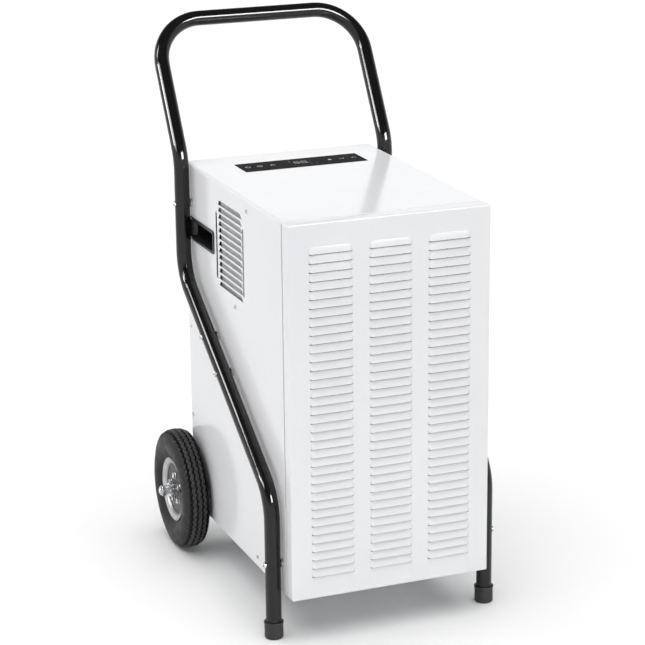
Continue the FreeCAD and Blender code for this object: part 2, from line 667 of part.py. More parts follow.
def coil_fins(y0, y1):
    """Stack of aluminium fins, each pierced for the tube passes."""
    fins = []
    count = int(2 * COIL_HALF / FIN_PITCH) + 1
    centre = (y0 + y1) / 2
    for k in range(count):
        x = -COIL_HALF + k * FIN_PITCH
        outline = [(x, y0, COIL_Z[0]), (x, y1, COIL_Z[0]), (x, y1, COIL_Z[1]), (x, y0, COIL_Z[1])]
        holes = [Part.Wire([Part.makeCircle(4.85, V(x, centre, z), V(1, 0, 0))])
                 for z in coil_pass_heights()]
        fins.append(perforated(outline, holes, (0.6, 0, 0)))
    return group(fins)


def coil_tube(y, first_side):
    """Serpentine copper tube; its lower end comes out on `first_side` (-1 left, +1 right)."""
    heights = coil_pass_heights()
    turn = (heights[1] - heights[0]) / 2
    points = [(first_side * (COIL_REACH + 2), y, heights[0])]
    side = -first_side
    for low, high in zip(heights, heights[1:]):
        points += [(side * COIL_REACH, y, low), (side * COIL_REACH, y, high)]
        side = -side
    points.append((side * (COIL_REACH + 2), y, heights[-1]))
    radii = [turn * 0.98] * (len(points) - 2)
    return pipe(points, radii, 4.75)


def fan_bulkhead():
    """Partition behind the coils with the fan's orifice ring."""
    half = CAB_HALF - SHEET - 2 * FIT
    plate = box(-half, half, BULKHEAD_Y, BULKHEAD_Y + 1.2, 366, CAB_TOP - 1.6)
    plate = plate.fuse(ring("y", (0, BULKHEAD_Y, FAN_Z), 42, ORIFICE_R + 1.5, ORIFICE_R))
    corner = box(half - 4, half + 1, BULKHEAD_Y - 2, BULKHEAD_Y + 5, CAB_TOP - 6, CAB_TOP)
    pipe_notch = box(LINE_X - 10, half + 1, BULKHEAD_Y - 2, BULKHEAD_Y + 5, 360, 412)
    return cut_all(plate, both_sides(corner) + both_sides(pipe_notch)
                   + [rod("y", (0, BULKHEAD_Y - 5, FAN_Z), 60, ORIFICE_R)])


def fan_impeller():
    """Five-blade axial impeller on a plain hub."""
    start = BULKHEAD_Y + 5
    hub = rod("y", (0, start, FAN_Z), 32, 32.0)
    wheel = hub
    reach = rod("y", (0, start - 5, FAN_Z), 50, FAN_R)
    for k in range(5):
        blade = box(24, FAN_R + 10, -1.25, 1.25, -36, 36)
        blade.rotate(V(0, 0, 0), V(1, 0, 0), 62)
        blade.translate(V(0, start + 16, FAN_Z))
        blade.rotate(V(0, start, FAN_Z), V(0, 1, 0), 72 * k)
        wheel = wheel.fuse(blade.common(reach))
    return wheel.cut(rod("y", (0, start - 10, FAN_Z), 80, 4.0))


def fan_shaft():
    return rod("y", (0, BULKHEAD_Y + 3, FAN_Z), 100, 4.0)


def motor_front():
    return BULKHEAD_Y + 1.2 + 52 + 2.5


def fan_motor():
    start = motor_front()
    can = rod("y", (0, start, FAN_Z), 72, 44)
    can = can.makeFillet(6.0, [e for e in can.Edges if abs(e.CenterOfMass.y - start - 72) < 1e-6])
    ribs = [ring("y", (0, start + 14 + 14 * k, FAN_Z), 6, 46, 43) for k in range(4)]
    return can.fuse(ribs).cut(rod("y", (0, start - 5, FAN_Z), 100, 4.0 + RUN_CLEAR))


def fan_motor_bracket():
    """Strap bent into a bridge over the orifice ring; the motor sits behind it."""
    back = motor_front()
    front = BULKHEAD_Y + 1.2
    span = ORIFICE_R + 8
    bridge = box(-16, 16, back - 2.5, back, FAN_Z - span, FAN_Z + span)
    for low in (FAN_Z - span, FAN_Z + span - 2.5):
        bridge = bridge.fuse(box(-16, 16, front, back - 2.5, low, low + 2.5))
    return bridge.cut(rod("y", (0, front, FAN_Z), 80, 9.0))


def chamber_shelf():
    """Floor of the fan chamber above the compressor and the tank bay."""
    half = CAB_HALF - SHEET - 2 * FIT
    return box(-half, half, BULKHEAD_Y + 1.4, CAB_DEPTH - 16, SHELF_Z, SHELF_Z + 1.2)


def drip_tray():
    outer = box(-166, 166, 40, 160, 340, 364)
    inner = box(-164.5, 164.5, 41.5, 158.5, 341.5, 365)
    return outer.cut(inner).cut(rod("y", (SPOUT_X, 150, 348), 20, 6.0))


def drain_spout():
    """Slightly falling pipe from the drip tray to the mouth over the tank."""
    points = [(SPOUT_X, 160.2, 348), (SPOUT_X, 300, 346), (SPOUT_X, FLOAT_Y, 344),
              (SPOUT_X, FLOAT_Y, 326)]
    return pipe(points, [200.0, 9.5], 8.0, 2.0)


def compressor_feet():
    places = []
    for turn in (90, 210, 330):
        angle = math.radians(turn)
        places.append((COMPRESSOR_X + 78 * math.cos(angle), COMPRESSOR_Y + 78 * math.sin(angle)))
    return places


def compressor():
    """Hermetic rotary compressor: can with domed ends on a three-point foot plate."""
    base = COMPRESSOR_BASE
    can_top = base + COMPRESSOR_FOOT + COMPRESSOR_CAN
    can = rod("z", (COMPRESSOR_X, COMPRESSOR_Y, base + COMPRESSOR_FOOT), COMPRESSOR_CAN,
              COMPRESSOR_R)
    can = can.makeFillet(22.0, [e for e in can.Edges if abs(e.CenterOfMass.z - can_top) < 1e-6])
    plate = rod("z", (COMPRESSOR_X, COMPRESSOR_Y, base), COMPRESSOR_FOOT, 66)
    for x, y in compressor_feet():
        plate = plate.fuse(rod("z", (x, y, base), COMPRESSOR_FOOT, 16))
    cap = rod("z", (COMPRESSOR_X, COMPRESSOR_Y, can_top), COMPRESSOR_CAP, 20)
    hollow = rod("z", (COMPRESSOR_X, COMPRESSOR_Y, base + 18), 200, COMPRESSOR_R - 12)
    holes = [rod("z", (x, y, base - 1), 5, 3.4) for x, y in compressor_feet()]
    return cut_all(can.fuse(plate).fuse(cap), holes + [hollow])


def compressor_mounts():
    return group([ring("z", (x, y, FLOOR_TOP), MOUNT_HEIGHT, 12.0, 3.4)
                  for x, y in compressor_feet()])


def compressor_bolts():
    bolts = []
    for x, y in compressor_feet():
        shank = rod("z", (x, y, FLOOR_TOP - 1.6), 24, 3.0)
        head = rod("z", (x, y, COMPRESSOR_BASE + COMPRESSOR_FOOT), 5.4, 6.5)
        bolts.append(shank.fuse(head))
    return group(bolts)


def suction_accumulator():
    """Vertical can beside the compressor with the elbow that feeds it."""
    can = rod("z", (ACCUMULATOR_X, COMPRESSOR_Y, 150), 150, 26)
    can = can.makeFillet(10.0, [e for e in can.Edges if len(e.Vertexes) == 1])
    entry = COMPRESSOR_X + COMPRESSOR_R + 0.2
    elbow = pipe([(ACCUMULATOR_X, COMPRESSOR_Y, 151), (ACCUMULATOR_X, COMPRESSOR_Y, 126),
                  (entry, COMPRESSOR_Y, 126)], [16.0], 5.0)
    return can.fuse(elbow)


def refrigerant_pipes():
    """Suction line, discharge line and liquid line, each a separate copper pipe."""
    evaporator = sum(EVAPORATOR_Y) / 2
    condenser = sum(CONDENSER_Y) / 2
    low, high = coil_pass_heights()[0], coil_pass_heights()[-1]
    stub = COIL_REACH + 2.1
    compressor_top = COMPRESSOR_BASE + COMPRESSOR_FOOT + COMPRESSOR_CAN + COMPRESSOR_CAP
    suction = pipe([(stub, evaporator, low), (LINE_X, evaporator, low), (LINE_X, 190, 335),
                    (ACCUMULATOR_X, COMPRESSOR_Y, 335), (ACCUMULATOR_X, COMPRESSOR_Y, 300)],
                   [7.0, 20.0, 18.0], 4.75)
    discharge = pipe([(COMPRESSOR_X, COMPRESSOR_Y, compressor_top),
                      (COMPRESSOR_X, COMPRESSOR_Y, 390), (LINE_X, 215, 390),
                      (LINE_X, condenser, 405), (LINE_X, condenser, high),
                      (stub, condenser, high)], [18.0, 18.0, 16.0, 7.0], 4.0)
    liquid = pipe([(-stub, condenser, low), (-LINE_X, condenser, low), (-LINE_X, DRIER_Y, 340),
                   (DRIER_X, DRIER_Y, 325), (DRIER_X, DRIER_Y, 306)], [7.0, 14.0, 12.0], 3.0)
    return group([suction, discharge, liquid])


def filter_drier():
    can = rod("z", (DRIER_X, DRIER_Y, 200), 90, 14)
    can = can.makeFillet(8.0, [e for e in can.Edges if len(e.Vertexes) == 1])
    return can.fuse(rod("z", (DRIER_X, DRIER_Y, 184), 122, 4.0))


def capillary_tube():
    """Expansion capillary: a few turns below the drier, then a riser to the evaporator."""
    bore = 1.3
    turns = Part.makeHelix(6.0, 24.0, 22.0)
    turns.translate(V(DRIER_X, DRIER_Y, 140))
    start = turns.Edges[0].valueAt(turns.Edges[0].FirstParameter)
    heading = turns.Edges[0].tangentAt(turns.Edges[0].FirstParameter)
    circle = Part.Wire([Part.makeCircle(bore, start, heading)])
    coil = Part.Wire(turns.Edges).makePipeShell([circle], True, True)
    evaporator = sum(EVAPORATOR_Y) / 2
    top = coil_pass_heights()[-1]
    riser = pipe([(DRIER_X + 22, DRIER_Y, 167), (DRIER_X + 22, 215, 200),
                  (-155, 215, 300), (-155, 205, 396), (-LINE_X - 2, 180, 396),
                  (-LINE_X - 2, evaporator, 396), (-LINE_X - 2, evaporator, top),
                  (-COIL_REACH - 2.1, evaporator, top)],
                 [20.0, 20.0, 12.0, 8.0, 8.0, 12.0, 7.0], bore)
    return group([coil, riser])


# ------------------------------------------------------------------------- water tank
def water_tank():
    """Open-topped tank with a finger recess in its rear wall and the float's guide post."""
    y0, y1 = TANK_Y
    z0, z1 = TANK_Z
    outer = box(-TANK_HALF, TANK_HALF, y0, y1, z0, z1)
    outer = outer.makeFillet(8.0, edges_along(outer, "z", lambda c: True))
    inner = box(-TANK_HALF + TANK_WALL, TANK_HALF - TANK_WALL, y0 + TANK_WALL, y1 - 26,
                z0 + TANK_WALL, z1 + 1)
    inner = inner.makeFillet(5.0, edges_along(inner, "z", lambda c: True))
    tank = outer.cut(inner)
    low = box(-TANK_HALF + TANK_WALL, TANK_HALF - TANK_WALL, y1 - 27, y1 - TANK_WALL,
              z0 + TANK_WALL, z1 - 72)
    tank = tank.cut(low)
    recess = box(-60, 60, y1 - 23, y1 + 1, z1 - 62, z1 - 22)
    recess = recess.makeFillet(6.0, edges_along(recess, "y", lambda c: True))
    tank = tank.cut(recess)
    post = rod("z", (FLOAT_X, FLOAT_Y, z0 + TANK_WALL - 0.5), z1 - z0 - 12, 4.0)
    stop = rod("z", (FLOAT_X, FLOAT_Y, z1 - 14), 3, 8.0)
    return tank.fuse(post).fuse(stop)


def tank_float():
    return ring("z", (FLOAT_X, FLOAT_Y, TANK_Z[0] + TANK_WALL + 0.5), 30, 22.0, 4.6)


def float_switch():
    """Reed switch block under the bay's ceiling, above the float."""
    top = TANK_Z[1] + 13 - SHEET
    return box(FLOAT_X - 14, FLOAT_X + 14, FLOAT_Y - 9, FLOAT_Y + 9, top - 9, top)


# ------------------------------------------------------------------------------ export
def all_parts():
    parts = {
        "front_panel": front_panel(),
        "cabinet_shell": cabinet_shell(),
        "rear_panel": rear_panel(),
        "base_tray": base_tray(),
        "tank_bay": tank_bay(),
        "control_overlay": control_overlay(),
        "control_housing": control_housing(),
        "control_board": control_board(),
        "display_module": display_module(),
        "electrics_box": electrics_box(),
        "run_capacitor": run_capacitor(),
        "cable_gland": cable_gland(),
        "handle_frame": handle_frame(),
        "foot_caps": foot_caps(),
        "frame_bolts": frame_bolts(),
        "frame_spacers": frame_spacers(),
        "panel_screws": panel_screws(),
        "axle": axle(),
        "axle_nuts": axle_nuts(),
        "axle_spacers": axle_spacers(),
        "axle_brackets": axle_brackets(),
        "air_filter": air_filter(),
        "evaporator_fins": coil_fins(*EVAPORATOR_Y),
        "evaporator_tube": coil_tube(sum(EVAPORATOR_Y) / 2, 1),
        "condenser_fins": coil_fins(*CONDENSER_Y),
        "condenser_tube": coil_tube(sum(CONDENSER_Y) / 2, -1),
        "fan_bulkhead": fan_bulkhead(),
        "fan_impeller": fan_impeller(),
        "fan_shaft": fan_shaft(),
        "fan_motor": fan_motor(),
        "fan_motor_bracket": fan_motor_bracket(),
        "chamber_shelf": chamber_shelf(),
        "drip_tray": drip_tray(),
        "drain_spout": drain_spout(),
        "compressor": compressor(),
        "compressor_mounts": compressor_mounts(),
        "compressor_bolts": compressor_bolts(),
        "suction_accumulator": suction_accumulator(),
        "refrigerant_pipes": refrigerant_pipes(),
        "filter_drier": filter_drier(),
        "capillary_tube": capillary_tube(),
        "water_tank": water_tank(),
        "tank_float": tank_float(),
        "float_switch": float_switch(),
    }
    handed = {"side_grip": side_grip(), "vent_mesh": vent_mesh()}
    handed.update({"tyre": tyre(), "rim_outer": rim_outer(), "rim_inner": rim_inner(),
                   "wheel_hub": wheel_hub(), "rim_bolts": rim_bolts(), "valve": valve_stem()})
    for name, shape in handed.items():
        parts[name + "_right"] = shape
        parts[name + "_left"] = mirrored(shape)
    return parts


def main():
    os.makedirs("parts", exist_ok=True)
    for name, shape in all_parts().items():
        placed = shape.copy()
        placed.translate(V(0, -ORIGIN_Y, 0))
        placed.exportStep("parts/" + name + ".step")
        state = "ok" if placed.isValid() else "NOT VALID"
        print(name, state, len(placed.Solids), "solids", round(placed.Volume / 1000.0, 2), "cm3")


main()
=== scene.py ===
"""The looks of the wheeled dehumidifier: finishes for every CAD part and detailed visual pieces.

Metres, in the CAD's own frame: +Z up, the louvred front faces -Y, the left side is -X.
"""
import json
import math

import bmesh
import bpy
from mathutils import Matrix, Vector


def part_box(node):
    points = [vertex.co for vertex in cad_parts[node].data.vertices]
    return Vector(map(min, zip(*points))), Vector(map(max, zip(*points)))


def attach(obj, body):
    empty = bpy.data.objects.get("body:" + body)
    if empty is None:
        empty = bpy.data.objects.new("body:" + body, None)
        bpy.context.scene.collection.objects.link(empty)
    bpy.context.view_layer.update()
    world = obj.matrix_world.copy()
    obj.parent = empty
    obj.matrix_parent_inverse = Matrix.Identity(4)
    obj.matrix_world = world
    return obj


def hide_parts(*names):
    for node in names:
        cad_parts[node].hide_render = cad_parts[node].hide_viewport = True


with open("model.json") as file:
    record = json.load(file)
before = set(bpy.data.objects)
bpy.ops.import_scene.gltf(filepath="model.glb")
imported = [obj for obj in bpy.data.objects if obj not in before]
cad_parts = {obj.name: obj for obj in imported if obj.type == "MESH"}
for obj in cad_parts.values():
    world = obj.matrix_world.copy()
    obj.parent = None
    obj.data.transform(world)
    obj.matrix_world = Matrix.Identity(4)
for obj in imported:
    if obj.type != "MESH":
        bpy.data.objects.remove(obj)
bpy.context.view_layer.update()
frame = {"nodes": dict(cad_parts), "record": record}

MM = 0.001
SIDES = {"left": -1, "right": 1}

# ------------------------------------------------------------------ sizes repeated from the CAD
LOUVRE_COLUMNS = (-105 * MM, 0.0, 105 * MM)
LOUVRE_ROWS = 38
LOUVRE_PITCH = 15 * MM
LOUVRE_TOP = 673.3 * MM
LOUVRE_HALF = 37.5 * MM
LOUVRE_RISE = 12.2 * MM
LOUVRE_OUT = 3.4 * MM
TRAY_SHEET = 1.2 * MM
TRAY_BEND = 2.4 * MM
CAP_LIP = 0.8 * MM
WHEEL_Y = 187.975 * MM
WHEEL_R = 110.5 * MM
RIM_BOLT_CIRCLE = 25 * MM
RIM_BOLTS = 5
RIM_BOLT_TURN = math.radians(12)
VALVE_CIRCLE = 36 * MM
VALVE_TURN = math.radians(166)
DISC_RADIUS = 48.5 * MM
TREAD_RADIUS = 107.3 * MM

# ------------------------------------------------------------------ sizes of the visual detail
LOUVRE_SLIT = 1.8 * MM      # open height under each louvre's lip
LOUVRE_END = 7 * MM         # length over which a louvre's end rounds off
SIDE_GAP = 3.0 * MM         # between the tray's flange and the cabinet, at the sides and below
TOP_GAP = 0.6 * MM          # the same at the top
TYRE_RADIUS = 110.5         # millimetres, like the tread's sizes below
TREAD_GROOVES = (14.4, 4.9, -4.9, -14.4)
TREAD_ZIGZAGS = 58
GROOVE_HALF = 2.0
GROOVE_DEPTH = 3.8
ZIGZAG_SWING = 1.4
SYMBOL_SCALE = 1.45
MARK_LIFT = 0.08 * MM


# ---------------------------------------------------------------------------- mesh helpers
def new_piece(name, verts, faces, sharp_deg=35.0, fix_normals=True):
    """A linked mesh object, smooth except along edges sharper than sharp_deg."""
    mesh = bpy.data.meshes.new(name)
    mesh.from_pydata([tuple(v) for v in verts], [], faces)
    if fix_normals:
        work = bmesh.new()
        work.from_mesh(mesh)
        bmesh.ops.remove_doubles(work, verts=work.verts, dist=1e-7)
        bmesh.ops.recalc_face_normals(work, faces=work.faces)
        work.to_mesh(mesh)
        work.free()
    mesh.shade_smooth()
    mesh.set_sharp_from_angle(angle=math.radians(sharp_deg))
    piece = bpy.data.objects.new(name, mesh)
    bpy.context.scene.collection.objects.link(piece)
    return piece


def bake_modifiers(piece, sharp_deg):
    """Turns the modified shape into the piece's own mesh and marks its edges again."""
    graph = bpy.context.evaluated_depsgraph_get()
    baked = bpy.data.meshes.new_from_object(piece.evaluated_get(graph))
    piece.modifiers.clear()
    piece.data = baked
    baked.shade_smooth()
    baked.set_sharp_from_angle(angle=math.radians(sharp_deg))


def merged(parts):
    """Several (verts, faces) lists as one."""
    verts, faces = [], []
    for part_verts, part_faces in parts:
        base = len(verts)
        verts += part_verts
        faces += [tuple(base + i for i in face) for face in part_faces]
    return verts, faces


def axes_for(axis):
    """Two unit vectors square to an axis, and the axis itself."""
    axis = Vector(axis).normalized()
    helper = Vector((0, 0, 1)) if abs(axis.z) < 0.9 else Vector((0, 1, 0))
    first = helper.cross(axis).normalized()
    return first, axis.cross(first), axis


def lathed(profile, centre, axis, steps=96):
    """Closed outline of (along, radius) points turned about an axis; radius 0 ends are poles."""
    first, second, axis = axes_for(axis)
    centre = Vector(centre)
    verts = []
    for along, radius in profile:
        for k in range(steps):
            turn = 2 * math.pi * k / steps
            spoke = first * math.cos(turn) + second * math.sin(turn)
            verts.append(centre + axis * along + spoke * radius)
    faces = []
    count = len(profile)
    for row in range(count):
        following = (row + 1) % count
        if profile[row][1] < 1e-9 and profile[following][1] < 1e-9:
            continue
        for k in range(steps):
            after = (k + 1) % steps
            a, b = row * steps + k, row * steps + after
            c, d = following * steps + after, following * steps + k
            if profile[row][1] < 1e-9:
                faces.append((row * steps, c, d))
            elif profile[following][1] < 1e-9:
                faces.append((a, b, following * steps))
            else:
                faces.append((a, b, c, d))
    return verts, faces


def rounded(corners, steps=5):
    """Open outline through (along, radius, fillet) corners, with each corner rounded off."""
    points = []
    last = len(corners) - 1
    for k, (along, radius, fillet) in enumerate(corners):
        here = Vector((along, radius))
        if fillet <= 0 or k in (0, last):
            points.append((along, radius))
            continue
        back = (Vector(corners[k - 1][:2]) - here).normalized()
        ahead = (Vector(corners[k + 1][:2]) - here).normalized()
        half = back.angle(ahead) / 2
        setback = fillet / math.tan(half)
        centre = here + (back + ahead).normalized() * (fillet / math.sin(half))
        start = here + back * setback - centre
        sweep = math.pi - 2 * half
        turn = math.copysign(sweep, start.x * ahead.y - start.y * ahead.x)
        for step in range(steps + 1):
            angle = turn * step / steps
            cosine, sine = math.cos(angle), math.sin(angle)
            points.append((centre.x + start.x * cosine - start.y * sine,
                           centre.y + start.x * sine + start.y * cosine))
    return points


def swept(path, radius, sides=8, closed_ends=True):
    """Round bar along a list of points."""
    points = [Vector(p) for p in path]
    verts, faces = [], []
    first = None
    for k, point in enumerate(points):
        ahead = points[min(k + 1, len(points) - 1)] - points[max(k - 1, 0)]
        ahead.normalize()
        if first is None:
            first = axes_for(ahead)[0]
        first = (first - ahead * first.dot(ahead)).normalized()
        second = ahead.cross(first)
        for side in range(sides):
            turn = 2 * math.pi * side / sides
            verts.append(point + (first * math.cos(turn) + second * math.sin(turn)) * radius)
    for k in range(len(points) - 1):
        for side in range(sides):
            after = (side + 1) % sides
            faces.append((k * sides + side, k * sides + after,
                          (k + 1) * sides + after, (k + 1) * sides + side))
    if closed_ends:
        faces.append(tuple(range(sides)))
        faces.append(tuple(range(len(verts) - sides, len(verts))))
    return verts, faces


def hex_nut(centre, axis, flats, height, bore, turn_deg=0.0):
    """Hexagon with the arc-shaped chamfer of a real nut; bore 0 makes it a bolt head."""
    first, second, axis = axes_for(axis)
    centre = Vector(centre)
    per_side = 8
    steps = 6 * per_side
    flat_radius = flats / 2
    chamfer_radius = flat_radius * 0.97
    slope = math.tan(math.radians(30))
    rings = [[], [], [], []]
    for k in range(steps):
        turn = 2 * math.pi * k / steps
        within = (turn % (math.pi / 3)) - math.pi / 6
        corner_radius = flat_radius / math.cos(within)
        spoke = (first * math.cos(turn + math.radians(turn_deg))
                 + second * math.sin(turn + math.radians(turn_deg)))
        drop = (corner_radius - chamfer_radius) * slope
        rings[0].append(centre + spoke * max(bore, 1e-5))
        rings[1].append(centre + spoke * corner_radius)
        rings[2].append(centre + spoke * corner_radius + axis * (height - drop))
        rings[3].append(centre + spoke * chamfer_radius + axis * height)
    countersink = max(bore + 0.4 * MM, 1e-5) if bore else 1e-5
    rings.append([centre + axis * height + (p - centre - axis * height).normalized() * countersink
                  for p in rings[3]])
    rings.append([centre + axis * (height - 0.5 * MM) + (p - centre) for p in rings[0]])
    verts = [p for loop in rings for p in loop]
    faces = []
    for row in range(len(rings)):
        following = (row + 1) % len(rings)
        for k in range(steps):
            after = (k + 1) % steps
            faces.append((row * steps + k, row * steps + after,
                          following * steps + after, following * steps + k))
    return verts, faces


def place(piece, body, slot_name, *nodes):
    """Gives a visual piece its body, its slot's finish and the CAD nodes it stands in for."""
    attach(piece, body)
    if nodes:
        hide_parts(*nodes)
    piece.data.materials.clear()
    piece.data.materials.append(finish_of(slot_name))
    return piece


# ------------------------------------------------------------------------ material helpers
class Finish:
    """A procedural material: one Principled shader with noise for colour, gloss and relief."""

    def __init__(self, name, roughness, metallic=0.0, **fixed):
        self.material = bpy.data.materials.new(name)
        self.material.use_nodes = True
        self.tree = self.material.node_tree
        self.shader = self.tree.nodes["Principled BSDF"]
        self.shader.inputs["Roughness"].default_value = roughness
        self.shader.inputs["Metallic"].default_value = metallic
        for socket, value in fixed.items():
            self.shader.inputs[socket.replace("_", " ")].default_value = value
        self.place = self.node("ShaderNodeTexCoord").outputs["Object"]
        self.relief = None

    def node(self, kind, **settings):
        made = self.tree.nodes.new(kind)
        for key, value in settings.items():
            setattr(made, key, value)
        return made

    def link(self, output, socket):
        self.tree.links.new(output, socket)

    def stretched(self, scale):
        mapping = self.node("ShaderNodeMapping")
        mapping.inputs["Scale"].default_value = scale
        self.link(self.place, mapping.inputs["Vector"])
        return mapping.outputs["Vector"]

    def noise(self, scale, detail=3.0, stretch=None):
        texture = self.node("ShaderNodeTexNoise")
        texture.inputs["Scale"].default_value = scale
        texture.inputs["Detail"].default_value = detail
        self.link(self.stretched(stretch) if stretch else self.place, texture.inputs["Vector"])
        return texture.outputs["Fac"]

    def cells(self, scale, feature="F1", output="Distance"):
        texture = self.node("ShaderNodeTexVoronoi", feature=feature)
        texture.inputs["Scale"].default_value = scale
        self.link(self.place, texture.inputs["Vector"])
        return texture.outputs[output]

    def remap(self, value, low, high, from_low=0.3, from_high=0.7):
        ramp = self.node("ShaderNodeMapRange")
        ramp.inputs["From Min"].default_value = from_low
        ramp.inputs["From Max"].default_value = from_high
        ramp.inputs["To Min"].default_value = low
        ramp.inputs["To Max"].default_value = high
        self.link(value, ramp.inputs["Value"])
        return ramp.outputs["Result"]

    def math(self, operation, a, b):
        node = self.node("ShaderNodeMath", operation=operation)
        for socket, value in zip(node.inputs, (a, b)):
            if isinstance(value, (int, float)):
                socket.default_value = value
            else:
                self.link(value, socket)
        return node.outputs["Value"]

    def blend(self, factor, first, second):
        """Colour between two colours (or colour sockets) by a factor socket."""
        mix = self.node("ShaderNodeMix", data_type="RGBA")
        self.link(factor, mix.inputs["Factor"])
        for socket, value in ((mix.inputs[6], first), (mix.inputs[7], second)):
            if isinstance(value, (tuple, list)):
                socket.default_value = (*value, 1.0)
            else:
                self.link(value, socket)
        return mix.outputs[2]

    def from_axle(self):
        """Distance from the line of the wheels' axle."""
        offset = self.node("ShaderNodeVectorMath", operation="SUBTRACT")
        offset.inputs[1].default_value = (0.0, WHEEL_Y, WHEEL_R)
        self.link(self.place, offset.inputs[0])
        flat = self.node("ShaderNodeVectorMath", operation="MULTIPLY")
        flat.inputs[1].default_value = (0.0, 1.0, 1.0)
        self.link(offset.outputs["Vector"], flat.inputs[0])
        length = self.node("ShaderNodeVectorMath", operation="LENGTH")
        self.link(flat.outputs["Vector"], length.inputs[0])
        return length.outputs["Value"]

    def edges(self, radius):
        """1 along sharp edges and 0 on flat ground, from a rounded normal against the true one."""
        bevel = self.node("ShaderNodeBevel", samples=4)
        bevel.inputs["Radius"].default_value = radius
        geometry = self.node("ShaderNodeNewGeometry")
        dot = self.node("ShaderNodeVectorMath", operation="DOT_PRODUCT")
        self.link(bevel.outputs["Normal"], dot.inputs[0])
        self.link(geometry.outputs["Normal"], dot.inputs[1])
        return self.remap(dot.outputs["Value"], 1.0, 0.0, 0.75, 0.995)

    def painted_shade_mask(self, reach):
        """Mask for painted shade, from ambient occlusion: 1 deep in grooves and under lips, 0 on
        open ground.
        """
        node = self.node("ShaderNodeAmbientOcclusion", samples=8)
        node.inputs["Distance"].default_value = reach
        return self.remap(node.outputs["AO"], 1.0, 0.0, 0.15, 0.8)

    def soften(self, radius):
        """Rounds the shading of sharp edges, as a real bend or moulding is rounded."""
        bevel = self.node("ShaderNodeBevel", samples=6)
        bevel.inputs["Radius"].default_value = radius
        self.relief = bevel.outputs["Normal"]

    def bump(self, height, depth, strength=1.0):
        node = self.node("ShaderNodeBump")
        node.inputs["Strength"].default_value = strength
        node.inputs["Distance"].default_value = depth
        self.link(height, node.inputs["Height"])
        if self.relief is not None:
            self.link(self.relief, node.inputs["Normal"])
        self.relief = node.outputs["Normal"]

    def done(self, colour, roughness=None):
        self.link(colour, self.shader.inputs["Base Color"])
        if roughness is not None:
            self.link(roughness, self.shader.inputs["Roughness"])
        if self.relief is not None:
            self.link(self.relief, self.shader.inputs["Normal"])
        return self.material


def tinted(colour, factor):
    return tuple(min(1.0, c * factor) for c in colour)


# ------------------------------------------------------------------------------- finishes
def white_coat():
    """Glossy white powder coat: faint orange peel, greyed edges, painted shade in grooves and
    slits.
    """
    f = Finish("white_coat", 0.13, IOR=1.4)
    f.soften(0.5 * MM)
    cloud = f.remap(f.noise(5.0, 4.0), 0.0, 1.0)
    base = f.blend(cloud, (0.775, 0.78, 0.80), (0.805, 0.81, 0.825))
    worn = f.math("MULTIPLY", f.edges(0.6 * MM), f.remap(f.noise(160.0), 0.0, 0.5, 0.45, 0.7))
    colour = f.blend(worn, base, (0.72, 0.725, 0.735))
    # painted shade: darker in grooves, slits and under the louvres' lips
    colour = f.blend(f.painted_shade_mask(5 * MM), colour, (0.25, 0.25, 0.26))
    f.bump(f.noise(420.0, 2.0), 0.02 * MM, 0.5)
    f.bump(f.noise(14.0, 2.0), 0.25 * MM, 0.25)
    return f.done(colour, f.remap(f.noise(40.0, 4.0), 0.1, 0.16))


def black_gloss():
    """Glossy black coat of the bent tube, with faint dust and rubbed spots."""
    f = Finish("black_gloss", 0.08, IOR=1.42)
    speck = f.remap(f.noise(900.0, 2.0), 0.0, 1.0, 0.62, 0.75)
    colour = f.blend(f.math("MULTIPLY", speck, 0.25), (0.006, 0.006, 0.0065), (0.09, 0.09, 0.09))
    f.bump(f.noise(260.0, 2.0), 0.012 * MM, 0.4)
    return f.done(colour, f.remap(f.noise(60.0, 4.0), 0.05, 0.14))


def galvanised():
    """Zinc-coated sheet with its spangle."""
    f = Finish("galvanised", 0.4, 1.0)
    f.soften(0.4 * MM)
    spangle = f.cells(110.0, output="Color")
    gray = f.node("ShaderNodeRGBToBW")
    f.link(spangle, gray.inputs["Color"])
    colour = f.blend(gray.outputs["Val"], (0.42, 0.44, 0.46), (0.66, 0.68, 0.70))
    f.bump(f.noise(300.0), 0.02 * MM, 0.4)
    return f.done(colour, f.remap(gray.outputs["Val"], 0.3, 0.5, 0.0, 1.0))


def zinc():
    """Bright zinc plating of the fasteners."""
    f = Finish("zinc", 0.25, 1.0)
    f.soften(0.25 * MM)
    tarnish = f.remap(f.noise(120.0, 4.0), 0.0, 1.0)
    colour = f.blend(tarnish, (0.72, 0.73, 0.75), (0.52, 0.53, 0.54))
    f.bump(f.noise(900.0), 0.01 * MM, 0.5)
    return f.done(colour, f.remap(f.noise(220.0), 0.16, 0.34))


def rim_silver():
    """Zinc-plated pressed steel of the rims: bright flange, and a disc with stains, painted much
    darker as the shade in its dish.
    """
    f = Finish("rim_silver", 0.38, 0.9)
    cloud = f.remap(f.noise(38.0, 5.0), 0.0, 1.0)
    flange = f.blend(cloud, (0.50, 0.51, 0.52), (0.34, 0.35, 0.36))
    stain = f.remap(f.noise(120.0, 4.0), 0.0, 1.0)
    # painted shade: the dished disc is coloured far darker than the flange of the same steel
    disc = f.blend(stain, (0.035, 0.035, 0.032), (0.11, 0.11, 0.10))
    outward = f.remap(f.from_axle(), 0.0, 1.0, DISC_RADIUS - 1.5 * MM, DISC_RADIUS + 0.3 * MM)
    f.bump(f.noise(240.0, 3.0), 0.05 * MM, 0.5)
    return f.done(f.blend(outward, disc, flange), f.remap(f.noise(90.0, 4.0), 0.3, 0.46))


